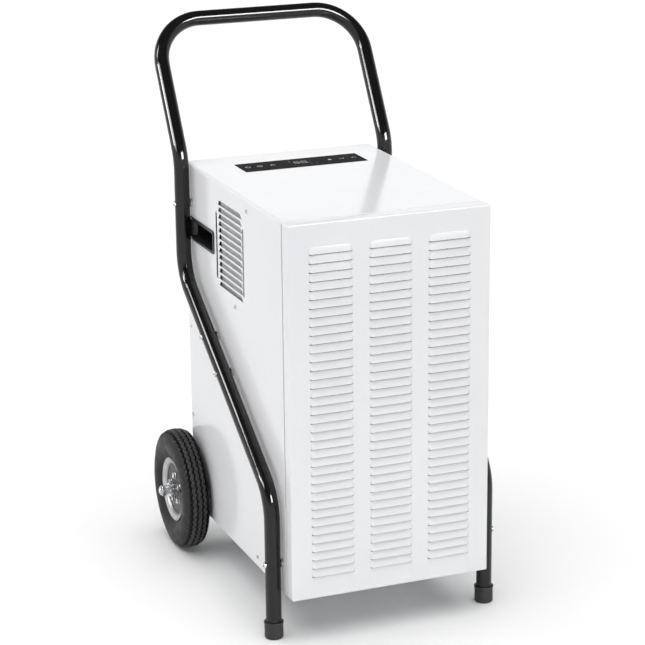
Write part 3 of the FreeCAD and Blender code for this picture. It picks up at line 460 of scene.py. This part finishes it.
def tyre_rubber():
    """Dull black rubber, dusty on the tread's ribs, with painted shade in its grooves, rubbed
    edges lightened both as wear and as painted highlights, and fine grain.
    """
    f = Finish("tyre_rubber", 0.6, Specular_IOR_Level=0.25)
    dust = f.remap(f.noise(22.0, 5.0), 0.0, 1.0)
    wall = f.blend(dust, (0.004, 0.004, 0.0042), (0.009, 0.009, 0.0092))
    speck = f.remap(f.noise(300.0, 4.0), 0.4, 1.0)
    rib = f.blend(speck, wall, (0.05, 0.05, 0.051))
    on_tread = f.remap(f.from_axle(), 0.0, 1.0, TREAD_RADIUS - 0.8 * MM, TREAD_RADIUS)
    base = f.blend(on_tread, wall, rib)
    # rubbed rib edges, lightened both as wear and as a painted highlight along them
    scuff_and_painted_highlight = f.math("MULTIPLY", f.edges(0.7 * MM), f.remap(f.noise(130.0), 0.2, 0.8))
    colour = f.blend(scuff_and_painted_highlight, base, (0.06, 0.06, 0.062))
    # painted shade: nearly black deep in the grooves
    colour = f.blend(f.painted_shade_mask(4 * MM), colour, (0.001, 0.001, 0.001))
    f.bump(f.noise(700.0, 4.0), 0.06 * MM, 0.6)
    return f.done(colour, f.remap(f.noise(60.0, 4.0), 0.4, 0.58))


def moulded(name, colour, roughness, grain=500.0, depth=0.04, tint=0.2, painted_shade_reach=None):
    """Moulded plastic or rubber: fine grain, rubbed edges, painted shade reaching that far out of
    corners.
    """
    f = Finish(name, roughness)
    f.soften(0.4 * MM)
    cloud = f.remap(f.noise(25.0, 4.0), 0.0, 1.0)
    base = f.blend(cloud, tinted(colour, 1 - tint / 2), tinted(colour, 1 + tint / 2))
    rubbed = f.math("MULTIPLY", f.edges(0.6 * MM), f.remap(f.noise(90.0), 0.1, 0.5))
    lighter = tuple(min(1.0, c * 1.3 + 0.02) for c in colour)
    shade = f.blend(rubbed, base, lighter)
    if painted_shade_reach:
        # painted shade: darker close to corners and neighbouring parts
        shade = f.blend(f.painted_shade_mask(painted_shade_reach), shade, tinted(colour, 0.6))
    f.bump(f.noise(grain, 3.0), depth * MM, 0.6)
    return f.done(shade, f.remap(f.noise(70.0, 3.0), roughness * 0.85, min(1.0, roughness * 1.15)))


def bare_metal(name, colour, roughness, grain=200.0, stretch=None, tint=0.25):
    """Uncoated metal with drawing marks and a little tarnish."""
    f = Finish(name, roughness, 1.0)
    f.soften(0.3 * MM)
    tarnish = f.remap(f.noise(45.0, 5.0), 0.0, 1.0)
    base = f.blend(tarnish, tinted(colour, 1 - tint), colour)
    marks = f.noise(grain, 2.0, stretch)
    f.bump(marks, 0.02 * MM, 0.5)
    return f.done(base, f.remap(marks, roughness * 0.7, roughness * 1.3))


def painted(name, colour, roughness):
    """Brushed or dipped machine paint with runs and dust."""
    f = Finish(name, roughness)
    f.soften(0.6 * MM)
    cloud = f.remap(f.noise(18.0, 5.0), 0.0, 1.0)
    base = f.blend(cloud, tinted(colour, 0.8), tinted(colour, 1.25))
    f.bump(f.noise(90.0, 3.0), 0.08 * MM, 0.5)
    return f.done(base, f.remap(f.noise(50.0), roughness * 0.8, roughness * 1.2))


def board_green():
    """Solder-masked circuit board with faint tracks."""
    f = Finish("board_green", 0.35)
    tracks = f.remap(f.cells(260.0, "DISTANCE_TO_EDGE"), 1.0, 0.0, 0.02, 0.06)
    colour = f.blend(tracks, (0.012, 0.11, 0.04), (0.03, 0.22, 0.09))
    f.bump(tracks, 0.04 * MM, 0.5)
    return f.done(colour, f.remap(f.noise(80.0), 0.28, 0.42))


def overlay_gloss():
    """Polished black touch overlay."""
    f = Finish("overlay_gloss", 0.2, Specular_IOR_Level=0.002)
    smear = f.remap(f.noise(30.0, 5.0), 0.0, 1.0, 0.45, 0.75)
    colour = f.blend(smear, (0.005, 0.005, 0.006), (0.011, 0.011, 0.012))
    f.bump(f.noise(120.0, 2.0), 0.005 * MM, 0.3)
    return f.done(colour, f.remap(smear, 0.16, 0.26, 0.0, 1.0))


def printed_grey():
    """Grey ink of the generic symbols on the overlay."""
    f = Finish("printed_grey", 0.3)
    patch = f.remap(f.noise(400.0, 3.0), 0.0, 1.0)
    colour = f.blend(patch, (0.34, 0.34, 0.345), (0.5, 0.5, 0.505))
    f.bump(f.noise(900.0), 0.01 * MM, 0.3)
    return f.done(colour, f.remap(f.noise(200.0), 0.25, 0.4))


FINISHES = {
    "white_coat": white_coat,
    "black_gloss": black_gloss,
    "galvanised": galvanised,
    "zinc": zinc,
    "rim_silver": rim_silver,
    "tyre_rubber": tyre_rubber,
    "board_green": board_green,
    "overlay_gloss": overlay_gloss,
    "black_plastic": lambda: moulded("black_plastic", (0.02, 0.02, 0.021), 0.45),
    "display_dark": lambda: moulded("display_dark", (0.03, 0.032, 0.033), 0.12, 900.0, 0.005),
    "grey_plastic": lambda: moulded("grey_plastic", (0.36, 0.37, 0.38), 0.5),
    "capacitor_can": lambda: bare_metal("capacitor_can", (0.70, 0.70, 0.72), 0.3),
    "cap_rubber": lambda: moulded("cap_rubber", (0.012, 0.012, 0.0125), 0.6, 380.0, 0.08),
    "filter_plastic": lambda: moulded("filter_plastic", (0.05, 0.05, 0.055), 0.6),
    "fin_aluminium": lambda: bare_metal("fin_aluminium", (0.78, 0.79, 0.80), 0.35),
    "copper": lambda: bare_metal("copper", (0.78, 0.40, 0.26), 0.28, 160.0, (1, 1, 6)),
    "fan_plastic": lambda: moulded("fan_plastic", (0.03, 0.03, 0.032), 0.5),
    "motor_grey": lambda: painted("motor_grey", (0.10, 0.105, 0.11), 0.45),
    "compressor_black": lambda: painted("compressor_black", (0.014, 0.014, 0.016), 0.35),
    "mount_rubber": lambda: moulded("mount_rubber", (0.03, 0.03, 0.03), 0.75, 300.0, 0.08),
    "tank_plastic": lambda: moulded("tank_plastic", (0.62, 0.65, 0.68), 0.38, 260.0, 0.03, 0.06),
    "float_plastic": lambda: moulded("float_plastic", (0.70, 0.22, 0.04), 0.4),
    "grip_plastic": lambda: moulded("grip_plastic", (0.012, 0.012, 0.013), 0.34, 420.0, 0.05),
    # the net gets painted shade, darker within 7 mm of the ribs and frame strips
    "mesh_steel": lambda: moulded("mesh_steel", (0.80, 0.81, 0.82), 0.4, 500.0, 0.02,
                                  painted_shade_reach=7 * MM),
    "valve_rubber": lambda: moulded("valve_rubber", (0.02, 0.02, 0.02), 0.55),
    "printed_grey": printed_grey,
}
made_finishes = {}


def finish_of(slot_name):
    if slot_name not in made_finishes:
        made_finishes[slot_name] = FINISHES[slot_name]()
    return made_finishes[slot_name]


def finish_cad_nodes():
    for entry in frame["record"]["subparts"]:
        mesh = frame["nodes"][entry["node"]].data
        mesh.materials.clear()
        mesh.materials.append(finish_of(entry["material_slot"]))


# -------------------------------------------------------------------------- the front tray
def hood_height(across, up):
    """How far a louvre stands out, `across` from its middle and `up` from its mouth."""
    if not -1e-6 <= up < LOUVRE_RISE:
        return 0.0
    share = max(0.0, up) / LOUVRE_RISE
    half = LOUVRE_HALF - LOUVRE_END * (1 - math.sqrt(1 - share * share))
    inside = (half - abs(across)) / LOUVRE_END
    if inside <= 0:
        return 0.0
    end = math.sqrt(1 - (1 - min(inside, 1.0)) ** 2)
    return LOUVRE_OUT * (1 - share ** 1.2) * end


def grid_lines():
    """Grid positions across and up the tray's face, dense where the louvres curve."""
    low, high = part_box("front_panel")
    end_steps = [-0.5, 0.0, 0.25, 0.7, 1.4, 2.4, 3.6, 5.0, 7.0, 10.0]
    across = [low.x + TRAY_BEND, high.x - TRAY_BEND]
    for middle in LOUVRE_COLUMNS:
        for step in end_steps:
            across += [middle - LOUVRE_HALF + step * MM, middle + LOUVRE_HALF - step * MM]
        across += [middle + k * 9 * MM for k in range(-2, 3)]
    shares = [-0.17, 0.0, 0.12, 0.27, 0.42, 0.56, 0.7, 0.82, 0.92, 1.0]
    up = [low.z + TRAY_BEND, high.z - TRAY_BEND]
    for row in range(LOUVRE_ROWS):
        mouth = LOUVRE_TOP - row * LOUVRE_PITCH
        up += [mouth + share * LOUVRE_RISE for share in shares]
    return sorted(across), sorted(up)


def front_tray():
    """Flanged pan with three columns of lanced louvres, open along each lower lip."""
    low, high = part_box("front_panel")
    face_y = low.y + LOUVRE_OUT
    across, up = grid_lines()
    mouths = {round(LOUVRE_TOP - row * LOUVRE_PITCH, 6) for row in range(LOUVRE_ROWS)}
    verts, above, below = [], {}, {}
    for j, z in enumerate(up):
        row = (LOUVRE_TOP + LOUVRE_RISE - z) / LOUVRE_PITCH
        mouth = LOUVRE_TOP - math.floor(row + 1e-6) * LOUVRE_PITCH
        rise = z - mouth
        for i, x in enumerate(across):
            middle = min(LOUVRE_COLUMNS, key=lambda c: abs(c - x))
            out = hood_height(x - middle, rise) if LOUVRE_TOP + LOUVRE_RISE > z else 0.0
            verts.append((x, face_y - out, z))
            above[i, j] = below[i, j] = len(verts) - 1
            if round(z, 6) in mouths and out > 0:
                verts.append((x, face_y, z - LOUVRE_SLIT))
                below[i, j] = len(verts) - 1
    faces = []
    for j in range(len(up) - 1):
        for i in range(len(across) - 1):
            faces.append((above[i, j], above[i + 1, j], below[i + 1, j + 1], below[i, j + 1]))
    rim = tray_rim(above, len(across), len(up))
    add_flange(verts, faces, rim, face_y, high.y)
    tray = new_piece("front_tray", verts, faces, 32.0, fix_normals=False)
    thick = tray.modifiers.new("sheet", "SOLIDIFY")
    thick.thickness = TRAY_SHEET
    thick.offset = -1.0
    bake_modifiers(tray, 28.0)
    return place(tray, "root", "white_coat", "front_panel")


def tray_rim(index, columns, rows):
    """Border of the grid in order, as (vertex, outward direction), with None at the corners."""
    last_i, last_j = columns - 1, rows - 1
    rim = [(index[i, 0], (0, -1)) for i in range(1, last_i)]
    rim += [(index[last_i, 0], None)]
    rim += [(index[last_i, j], (1, 0)) for j in range(1, last_j)]
    rim += [(index[last_i, last_j], None)]
    rim += [(index[i, last_j], (0, 1)) for i in range(last_i - 1, 0, -1)]
    rim += [(index[0, last_j], None)]
    rim += [(index[0, j], (-1, 0)) for j in range(last_j - 1, 0, -1)]
    rim += [(index[0, 0], None)]
    return rim


def add_flange(verts, faces, rim, face_y, back_y):
    """Rolled edge and flange round the grid; each corner vertex opens into an arc.

    The flange stops short of back_y by the gap that shows between the tray and the cabinet.
    """
    corner_steps = 6
    corner_turns = iter((-90.0, 0.0, 90.0, 180.0))
    spokes = []
    for vertex, direction in rim:
        if direction is not None:
            spokes.append((vertex, Vector(direction)))
            continue
        start = next(corner_turns)
        for k in range(corner_steps + 1):
            turn = math.radians(start + 90.0 * k / corner_steps)
            spokes.append((vertex, Vector((math.cos(turn), math.sin(turn)))))
    bends = 6
    rings = []
    for k in range(1, bends + 1):
        turn = math.pi / 2 * k / bends
        rings.append((TRAY_BEND * math.sin(turn), TRAY_BEND * (1 - math.cos(turn))))
    rings.append((TRAY_BEND, back_y - face_y))
    previous = [vertex for vertex, _ in spokes]
    for out, back in rings:
        current = []
        for vertex, direction in spokes:
            x, _, z = verts[vertex]
            gap = SIDE_GAP + (TOP_GAP - SIDE_GAP) * max(0.0, direction.y)
            depth = min(back, back_y - face_y - gap)
            verts.append((x + direction.x * out, face_y + depth, z + direction.y * out))
            current.append(len(verts) - 1)
        for k in range(len(current)):
            after = (k + 1) % len(current)
            corners = [previous[k], current[k], current[after], previous[after]]
            faces.append(tuple(dict.fromkeys(corners)))
        previous = current


# ------------------------------------------------------------------------------- the wheels
def wheel_place(side):
    """Middle of a wheel, its radius and its outward axis, from the CAD tyre."""
    low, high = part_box("tyre_" + side)
    return (low + high) / 2, (high.z - low.z) / 2, Vector((SIDES[side], 0, 0))


def tyre_columns():
    """Half of the tyre's outer outline as (axial, radius, zigzag share, notch share)."""
    columns = [(11.8, 52.2, 0, 0), (15.8, 52.2, 0, 0), (15.8, 58.6, 0, 0)]
    start, end = (16.1, 59.6), (19.7, 103.2)
    for k in range(13):
        share = k / 12
        bulge = math.sin(math.pi * share ** 0.9)
        axial = start[0] + (end[0] - start[0]) * share + 7.0 * bulge
        radius = start[1] + (end[1] - start[1]) * share
        columns.append((axial, radius, 0, 1.0 if k >= 11 else 0.4 if k == 10 else 0))
    columns.append((18.9, 105.0, 0.3, 1.0))
    columns.append((17.4, 106.0, 0.8, 0.4))
    return columns


def crown_radius(axial):
    """Radius of the tread's surface, falling off toward the shoulders."""
    return TYRE_RADIUS - 6.1 * (abs(axial) / 19.5) ** 2.2


def tyre_tread(side):
    """Tyre with zigzag ribs, notched shoulders and smooth side walls."""
    centre, radius, axis = wheel_place(side)
    first, second, axis = axes_for(axis)
    half = tyre_columns()
    columns = list(half)
    for groove in TREAD_GROOVES:
        top_out, top_in = groove + GROOVE_HALF, groove - GROOVE_HALF
        for axial, depth in ((top_out + 0.5, 0), (top_out, 0.5), (top_out - 0.6, GROOVE_DEPTH),
                             (top_in + 0.6, GROOVE_DEPTH), (top_in, 0.5), (top_in - 0.5, 0)):
            columns.append((axial, crown_radius(axial) - depth, 1, 0))
        if groove > TREAD_GROOVES[-1]:
            middle = groove - 4.8
            columns.append((middle, crown_radius(middle), 1, 0))
    columns += [(-axial, r, zig, notch) for axial, r, zig, notch in reversed(half)]
    columns += [(-11.8, 59.0, 0, 0), (-20.0, 80.0, 0, 0), (-15.5, 99.5, 0, 0), (0, 104.0, 0, 0),
                (15.5, 99.5, 0, 0), (20.0, 80.0, 0, 0), (11.8, 59.0, 0, 0)]
    scale = radius / (TYRE_RADIUS * MM)
    zigzag = (-1.0, -0.5, 0.0, 0.5, 1.0, 0.5, 0.0, -0.5)
    steps = len(zigzag) * TREAD_ZIGZAGS
    verts = []
    for step in range(steps):
        turn = 2 * math.pi * step / steps
        spoke = first * math.cos(turn) + second * math.sin(turn)
        shift = ZIGZAG_SWING * zigzag[step % len(zigzag)]
        for axial, r, zig, notch in columns:
            cut = notch if step % 4 < 2 else 0.0
            away = (r - cut) * scale
            verts.append(centre + axis * (axial + zig * shift) * MM + spoke * away * MM)
    count = len(columns)
    faces = []
    for step in range(steps):
        after = (step + 1) % steps
        for k in range(count):
            nxt = (k + 1) % count
            faces.append((step * count + k, step * count + nxt,
                          after * count + nxt, after * count + k))
    tyre = new_piece("tyre_tread_" + side, verts, faces, 38.0)
    return place(tyre, "wheel_" + side, "tyre_rubber", "tyre_" + side)


def rim_dish(name, side, outward, slot_name, node):
    """One pressed half of the split rim, with a rolled flange and a dished disc."""
    centre, _, axis = wheel_place(side)
    corners = [(8.6, 12.0, 0), (11.0, 12.0, 0), (12.0, 14.5, 1.5), (11.0, 17.5, 1.5),
               (11.0, 44.0, 2.5), (12.6, 48.3, 1.2), (15.2, 49.6, 1.5), (18.0, 56.5, 3.0),
               (18.5, 58.6, 0.6), (17.2, 58.9, 0.5), (16.4, 57.2, 0.5), (14.8, 52.6, 0.8),
               (14.0, 51.6, 0.8), (0.1, 51.6, 0), (0.1, 50.2, 0), (11.4, 50.2, 1.0),
               (9.6, 45.4, 1.5), (9.6, 19.0, 1.0), (8.6, 17.0, 1.0)]
    profile = [(a * MM, r * MM) for a, r in rounded(corners, 4)]
    dish = new_piece(name, *lathed(profile, centre, axis * outward, 120), sharp_deg=50.0)
    return place(dish, "wheel_" + side, slot_name, node)


def rim_hardware(side):
    """Dished heads, nuts and washers of the five rim bolts."""
    centre, _, axis = wheel_place(side)
    parts = []
    for k in range(RIM_BOLTS):
        turn = RIM_BOLT_TURN + 2 * math.pi * k / RIM_BOLTS
        spot = centre + Vector((0, math.cos(turn), math.sin(turn))) * RIM_BOLT_CIRCLE
        washer = [(11.0, 0.5, 0), (11.0, 6.3, 0), (12.2, 6.3, 0.5), (12.2, 0.5, 0)]
        tip = [(-14.8, 0.0, 0), (-14.8, 2.6, 0), (-17.0, 2.6, 0.6), (-17.0, 0.0, 0)]
        for corners in (washer, tip):
            outline = [(a * MM, r * MM) for a, r in rounded(corners, 3)]
            parts.append(lathed(outline, spot, axis, 32))
        nuts = ((12.2, axis, 3.6, 17 * k), (-11.0, -axis, 4.0, 29 * k))
        for foot, heading, height, turn_deg in nuts:
            parts.append(hex_nut(spot + axis * foot * MM, heading, 10.4 * MM, height * MM,
                                 2.4 * MM, turn_deg))
    bolts = new_piece("rim_hardware_" + side, *merged(parts))
    return place(bolts, "wheel_" + side, "zinc", "rim_bolts_" + side)


def valve_detail(side):
    """Short rubber valve with its cap, in the hole of the outer rim half."""
    centre, _, axis = wheel_place(side)
    spot = centre + Vector((0, math.cos(VALVE_TURN), math.sin(VALVE_TURN))) * VALVE_CIRCLE
    corners = [(3.0, 0.0, 0), (3.0, 3.4, 0), (11.6, 3.4, 0.8), (12.2, 2.7, 0.3),
               (15.4, 2.7, 0.6), (16.0, 1.8, 0.4), (16.0, 0.0, 0)]
    profile = [(a * MM, r * MM) for a, r in rounded(corners, 3)]
    valve = new_piece("valve_stem_" + side, *lathed(profile, spot, axis, 32))
    return place(valve, "wheel_" + side, "valve_rubber", "valve_" + side)


def axle_hardware():
    """Domed lock nuts at both ends of the axle."""
    low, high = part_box("axle_nuts")
    middle = (low + high) / 2
    inner = high.x - 9.0 * MM
    parts = []
    for sign in SIDES.values():
        axis = Vector((sign, 0, 0))
        spot = Vector((sign * inner, middle.y, middle.z))
        parts.append(hex_nut(spot, axis, 18.7 * MM, 6.6 * MM, 6.0 * MM, 12.0))
        collar = [(6.4, 6.0, 0), (6.4, 8.4, 0), (8.6, 8.2, 0.8), (9.0, 6.4, 0.4), (9.0, 6.0, 0)]
        profile = [(a * MM, r * MM) for a, r in rounded(collar, 4)]
        parts.append(lathed(profile, spot, axis, 48))
    nuts = new_piece("axle_lock_nuts", *merged(parts))
    return place(nuts, "root", "zinc", "axle_nuts")


# ------------------------------------------------------------------------- caps and guards
def foot_cap(side):
    """Rubber ferrule with a flared top lip and a bevelled bottom edge."""
    low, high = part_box("foot_caps")
    lip_radius = (high.y - low.y) / 2
    body = lip_radius - CAP_LIP
    centre = Vector((SIDES[side] * (high.x - lip_radius), (low.y + high.y) / 2, 0.0))
    top = high.z
    corners = [(0.0, 0.0, 0), (0.0, body - 1.6 * MM, 0.8 * MM), (2.2 * MM, body, 1.6 * MM),
               (top - 5.5 * MM, body, 3 * MM), (top - 2.6 * MM, lip_radius, 1.2 * MM),
               (top, lip_radius, 0.9 * MM), (top, body - 2.4 * MM, 0.5 * MM),
               (top - 6 * MM, body - 2.5 * MM, 0), (top - 6 * MM, 0.0, 0)]
    cap = new_piece("foot_cap_" + side, *lathed(rounded(corners), centre, (0, 0, 1), 72),
                    sharp_deg=50.0)
    return place(cap, "root", "cap_rubber", "foot_caps")


def guard_net(side):
    """Welded wire net behind the side outlet, on its flat edge strips."""
    low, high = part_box("vent_mesh_" + side)
    sign = SIDES[side]
    inner = min((low.x, high.x), key=abs)
    pitch, wire = 2.5 * MM, 0.42 * MM
    frame_y = (low.y + 15 * MM, high.y)
    frame_z = (low.z + 15 * MM, high.z - 14 * MM)
    parts = []
    upright_x = inner + sign * (0.4 * MM + wire)
    level_x = upright_x - sign * 2 * wire * 0.9
    for k in range(int((frame_y[1] - frame_y[0]) / pitch)):
        y = frame_y[0] + (k + 0.5) * pitch
        ends = [(upright_x, y, frame_z[0] - 2 * MM), (upright_x, y, frame_z[1] + 2 * MM)]
        parts.append(swept(ends, wire, 6))
    for k in range(int((frame_z[1] - frame_z[0]) / pitch)):
        z = frame_z[0] + (k + 0.5) * pitch
        ends = [(level_x, frame_y[0] - 2 * MM, z), (level_x, frame_y[1], z)]
        parts.append(swept(ends, wire, 6))
    outer = inner + sign * 4.8 * MM
    for y0, y1, z0, z1 in ((low.y, frame_y[0], low.z, high.z),
                           (frame_y[0], frame_y[1], low.z, frame_z[0]),
                           (frame_y[0], frame_y[1], frame_z[1], high.z)):
        parts.append(plate((inner, outer), (y0, y1), (z0, z1)))
    net = new_piece("guard_net_" + side, *merged(parts), fix_normals=False)
    work = bmesh.new()
    work.from_mesh(net.data)
    bmesh.ops.recalc_face_normals(work, faces=work.faces)
    work.to_mesh(net.data)
    work.free()
    return place(net, "root", "mesh_steel", "vent_mesh_" + side)


def plate(xs, ys, zs):
    verts = [(x, y, z) for x in xs for y in ys for z in zs]
    faces = [(0, 1, 3, 2), (4, 6, 7, 5), (0, 4, 5, 1), (2, 3, 7, 6), (0, 2, 6, 4), (1, 5, 7, 3)]
    return verts, faces


# ----------------------------------------------------------------------- the control strip
def flat_ring(centre, outer, inner, start_deg=0.0, end_deg=360.0, steps=28):
    """Flat arc band in the strip's plane, as (points, quads)."""
    points, quads = [], []
    for k in range(steps + 1):
        turn = math.radians(start_deg + (end_deg - start_deg) * k / steps)
        for radius in (inner, outer):
            points.append((centre[0] + radius * math.cos(turn),
                           centre[1] + radius * math.sin(turn)))
    for k in range(steps):
        quads.append((2 * k, 2 * k + 1, 2 * k + 3, 2 * k + 2))
    return points, quads


def flat_bar(start, end, width):
    """Flat straight stroke in the strip's plane."""
    a, b = Vector(start), Vector(end)
    across = (b - a).orthogonal().normalized() * width / 2
    return [tuple(p) for p in (a - across, a + across, b + across, b - across)], [(0, 1, 2, 3)]


def flat_drop(centre, size):
    """Water drop outline."""
    points = []
    for k in range(24):
        turn = 2 * math.pi * k / 24
        lift = 1.0 + 0.75 * max(0.0, math.sin(turn)) ** 6
        narrow = 1.0 - 0.55 * max(0.0, math.sin(turn)) ** 3
        points.append((centre[0] + size * math.cos(turn) * narrow,
                       centre[1] + size * math.sin(turn) * lift))
    return points, [tuple(range(24))]


def symbol(kind):
    """Generic touch symbols, drawn in millimetres about their own middle."""
    if kind == "power":
        return [flat_ring((0, 0), 3.4, 2.5, 120, 420), flat_bar((0, 1.2), (0, 4.2), 0.9)]
    if kind == "timer":
        return [flat_ring((0, 0), 3.6, 2.8), flat_bar((0, 0), (0, 2.3), 0.8),
                flat_bar((0, 0), (1.7, 0), 0.8)]
    if kind == "drop":
        return [flat_drop((0, -0.6), 2.5)]
    if kind == "fan":
        turns = [math.radians(t) for t in (90, 210, 330)]
        return [flat_ring((1.6 * math.cos(t), 1.6 * math.sin(t)), 1.7, 0.3,
                          math.degrees(t) - 100, math.degrees(t) + 100, 14) for t in turns]
    tip = 1.8 if kind == "up" else -1.8
    foot = -tip * 0.83
    return [flat_bar((-3.0, foot), (0, tip), 1.1), flat_bar((0, tip), (3.0, foot), 1.1)]


def seven_segments(x, y, wide, tall):
    """Unlit digit of a display: all seven segments."""
    w, h, gap = wide / 2, tall / 2, 0.5
    lines = [((x - w + gap, y + h), (x + w - gap, y + h)), ((x - w + gap, y), (x + w - gap, y)),
             ((x - w + gap, y - h), (x + w - gap, y - h))]
    for side in (-w, w):
        lines += [((x + side, y + gap), (x + side, y + h - gap)),
                  ((x + side, y - h + gap), (x + side, y - gap))]
    return [flat_bar(a, b, 1.3) for a, b in lines]


def raised_marks(name, shapes, z):
    """Thin printed shapes, given in millimetres on the strip, standing just above it."""
    parts = []
    for points, quads in shapes:
        count = len(points)
        verts = [(x * MM, y * MM, z) for x, y in points]
        verts += [(x * MM, y * MM, z + MARK_LIFT) for x, y in points]
        faces = [tuple(reversed(q)) for q in quads] + [tuple(i + count for i in q) for q in quads]
        uses = {}
        for quad in quads:
            for a, b in zip(quad, quad[1:] + quad[:1]):
                uses[frozenset((a, b))] = uses.get(frozenset((a, b)), []) + [(a, b)]
        for edge in uses.values():
            if len(edge) == 1:
                a, b = edge[0]
                faces.append((a, b, b + count, a + count))
        parts.append((verts, faces))
    marks = new_piece(name, *merged(parts))
    place(marks, "root", "display_dark")
    marks.data.materials[0] = finish_of("printed_grey")


def control_marks():
    """Six touch symbols and the display field of the control strip."""
    low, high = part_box("control_overlay")
    middle_x = (low.x + high.x) / 2 / MM
    middle_y = (low.y + high.y) / 2 / MM
    row_y = middle_y + 1.0
    shapes = []
    kinds = ("power", "timer", "fan", "drop", "down", "up")
    for kind, offset in zip(kinds, (-100, -78, -54, 54, 78, 100)):
        for points, quads in symbol(kind):
            points = [(middle_x + offset + SYMBOL_SCALE * px, row_y + SYMBOL_SCALE * py)
                      for px, py in points]
            shapes.append((points, quads))
    shapes += [flat_ring((middle_x - 18, middle_y + 14), 1.1, 0.0, steps=16),
               flat_ring((middle_x + 14, middle_y - 15), 0.9, 0.0, steps=16),
               flat_ring((middle_x + 24, middle_y - 15), 0.9, 0.0, steps=16)]
    raised_marks("control_symbols", shapes, high.z)
    digits = []
    for x in (-8.0, 6.0):
        digits += seven_segments(middle_x + x, middle_y + 2, 8.5, 15.0)
    digits.append(flat_ring((middle_x + 14.5, middle_y - 5.5), 0.9, 0.0, steps=16))
    raised_marks("display_digits", digits, high.z)


# ------------------------------------------------------------------------- stage and camera
def studio():
    """Pale floor, a band of bright sky under a dark ceiling, soft top light and four cards."""
    scene = bpy.context.scene
    scene.view_settings.view_transform = "Standard"
    floor_finish = Finish("floor", 0.7)
    shade = floor_finish.remap(floor_finish.noise(1.5, 2.0), 0.0, 1.0)
    floor_finish.bump(floor_finish.noise(60.0), 0.1 * MM, 0.1)
    floor_finish.done(floor_finish.blend(shade, (0.94, 0.94, 0.94), (0.96, 0.96, 0.96)))
    reach = 30.0
    corners = [(-reach, -reach, 0), (reach, -reach, 0), (reach, reach, 0), (-reach, reach, 0)]
    floor = new_piece("floor", corners, [(0, 1, 2, 3)], fix_normals=False)
    floor.data.materials.append(floor_finish.material)

    world = bpy.data.worlds.new("studio")
    scene.world = world
    world.use_nodes = True
    nodes, links = world.node_tree.nodes, world.node_tree.links
    place_node = nodes.new("ShaderNodeTexCoord")
    split = nodes.new("ShaderNodeSeparateXYZ")
    ramp = nodes.new("ShaderNodeValToRGB")
    ramp.color_ramp.elements[0].position = 0.25
    ramp.color_ramp.elements[0].color = (1.0, 1.0, 1.0, 1)
    ramp.color_ramp.elements[1].position = 0.5
    ramp.color_ramp.elements[1].color = (0.05, 0.051, 0.054, 1)
    links.new(place_node.outputs["Generated"], split.inputs["Vector"])
    links.new(split.outputs["Z"], ramp.inputs["Fac"])
    links.new(ramp.outputs["Color"], nodes["Background"].inputs["Color"])
    nodes["Background"].inputs["Strength"].default_value = 1.1

    softbox("left_card", (-2.68, -0.28, 2.07), (0, 0, 0.75), (0.9, 0.65), 33.0)
    softbox("rear_card", (-2.26, 0.83, 2.40), (-0.2, 0, 0.4), (0.5, 0.9), 26.0)
    softbox("handle_card", (-2.64, 0.50, 1.68), (-0.2, 0.24, 0.85), (0.6, 0.4), 30.0)
    softbox("front_card", (1.0, -3.45, 2.45), (0, 0.3, 0.96), (2.2, 1.1), 290.0)
    broad_light("overhead", (0.1, 0.1, -1.0), 2.95, 80)


def broad_light(name, heading, power, spread_deg):
    """Soft parallel light that adds no mirror image of itself."""
    light = bpy.data.lights.new(name, "SUN")
    light.energy = power
    light.angle = math.radians(spread_deg)
    lamp = bpy.data.objects.new(name, light)
    bpy.context.scene.collection.objects.link(lamp)
    lamp.rotation_euler = Vector(heading).to_track_quat("-Z", "Y").to_euler()
    lamp.visible_glossy = False


def softbox(name, place_at, aim_at, size, power):
    """Bright card that shows in glossy surfaces and adds no diffuse light."""
    light = bpy.data.lights.new(name, "AREA")
    light.shape = "RECTANGLE"
    light.size, light.size_y = size
    light.energy = power
    light.color = (1.0, 0.985, 0.95)
    lamp = bpy.data.objects.new(name, light)
    bpy.context.scene.collection.objects.link(lamp)
    lamp.location = place_at
    aim = Vector(aim_at) - Vector(place_at)
    lamp.rotation_euler = aim.to_track_quat("-Z", "Y").to_euler()
    lamp.visible_diffuse = False
    lamp.visible_camera = False


CAMERA_PLACE = (-1.4136, -3.6110, 1.6215)
CAMERA_YAW = math.radians(-21.43)
CAMERA_PITCH = math.radians(-16.72)
CAMERA_ROLL = math.radians(-0.61)
CAMERA_LENS = 128.0


def camera():
    lens = bpy.data.cameras.new("camera")
    lens.lens = CAMERA_LENS
    lens.sensor_width = 36.0
    lens.clip_end = 100.0
    eye = bpy.data.objects.new("camera", lens)
    bpy.context.scene.collection.objects.link(eye)
    turn = (Matrix.Rotation(CAMERA_YAW, 4, "Z")
            @ Matrix.Rotation(math.pi / 2 + CAMERA_PITCH, 4, "X")
            @ Matrix.Rotation(CAMERA_ROLL, 4, "Z"))
    eye.matrix_world = Matrix.Translation(CAMERA_PLACE) @ turn
    bpy.context.scene.camera = eye


# ------------------------------------------------------------------------------------ main
camera()
studio()
finish_cad_nodes()
front_tray()
for side in SIDES:
    tyre_tread(side)
    rim_dish("rim_front_" + side, side, 1, "rim_silver", "rim_outer_" + side)
    rim_dish("rim_back_" + side, side, -1, "rim_silver", "rim_inner_" + side)
    rim_hardware(side)
    valve_detail(side)
    foot_cap(side)
    guard_net(side)
axle_hardware()
control_marks()
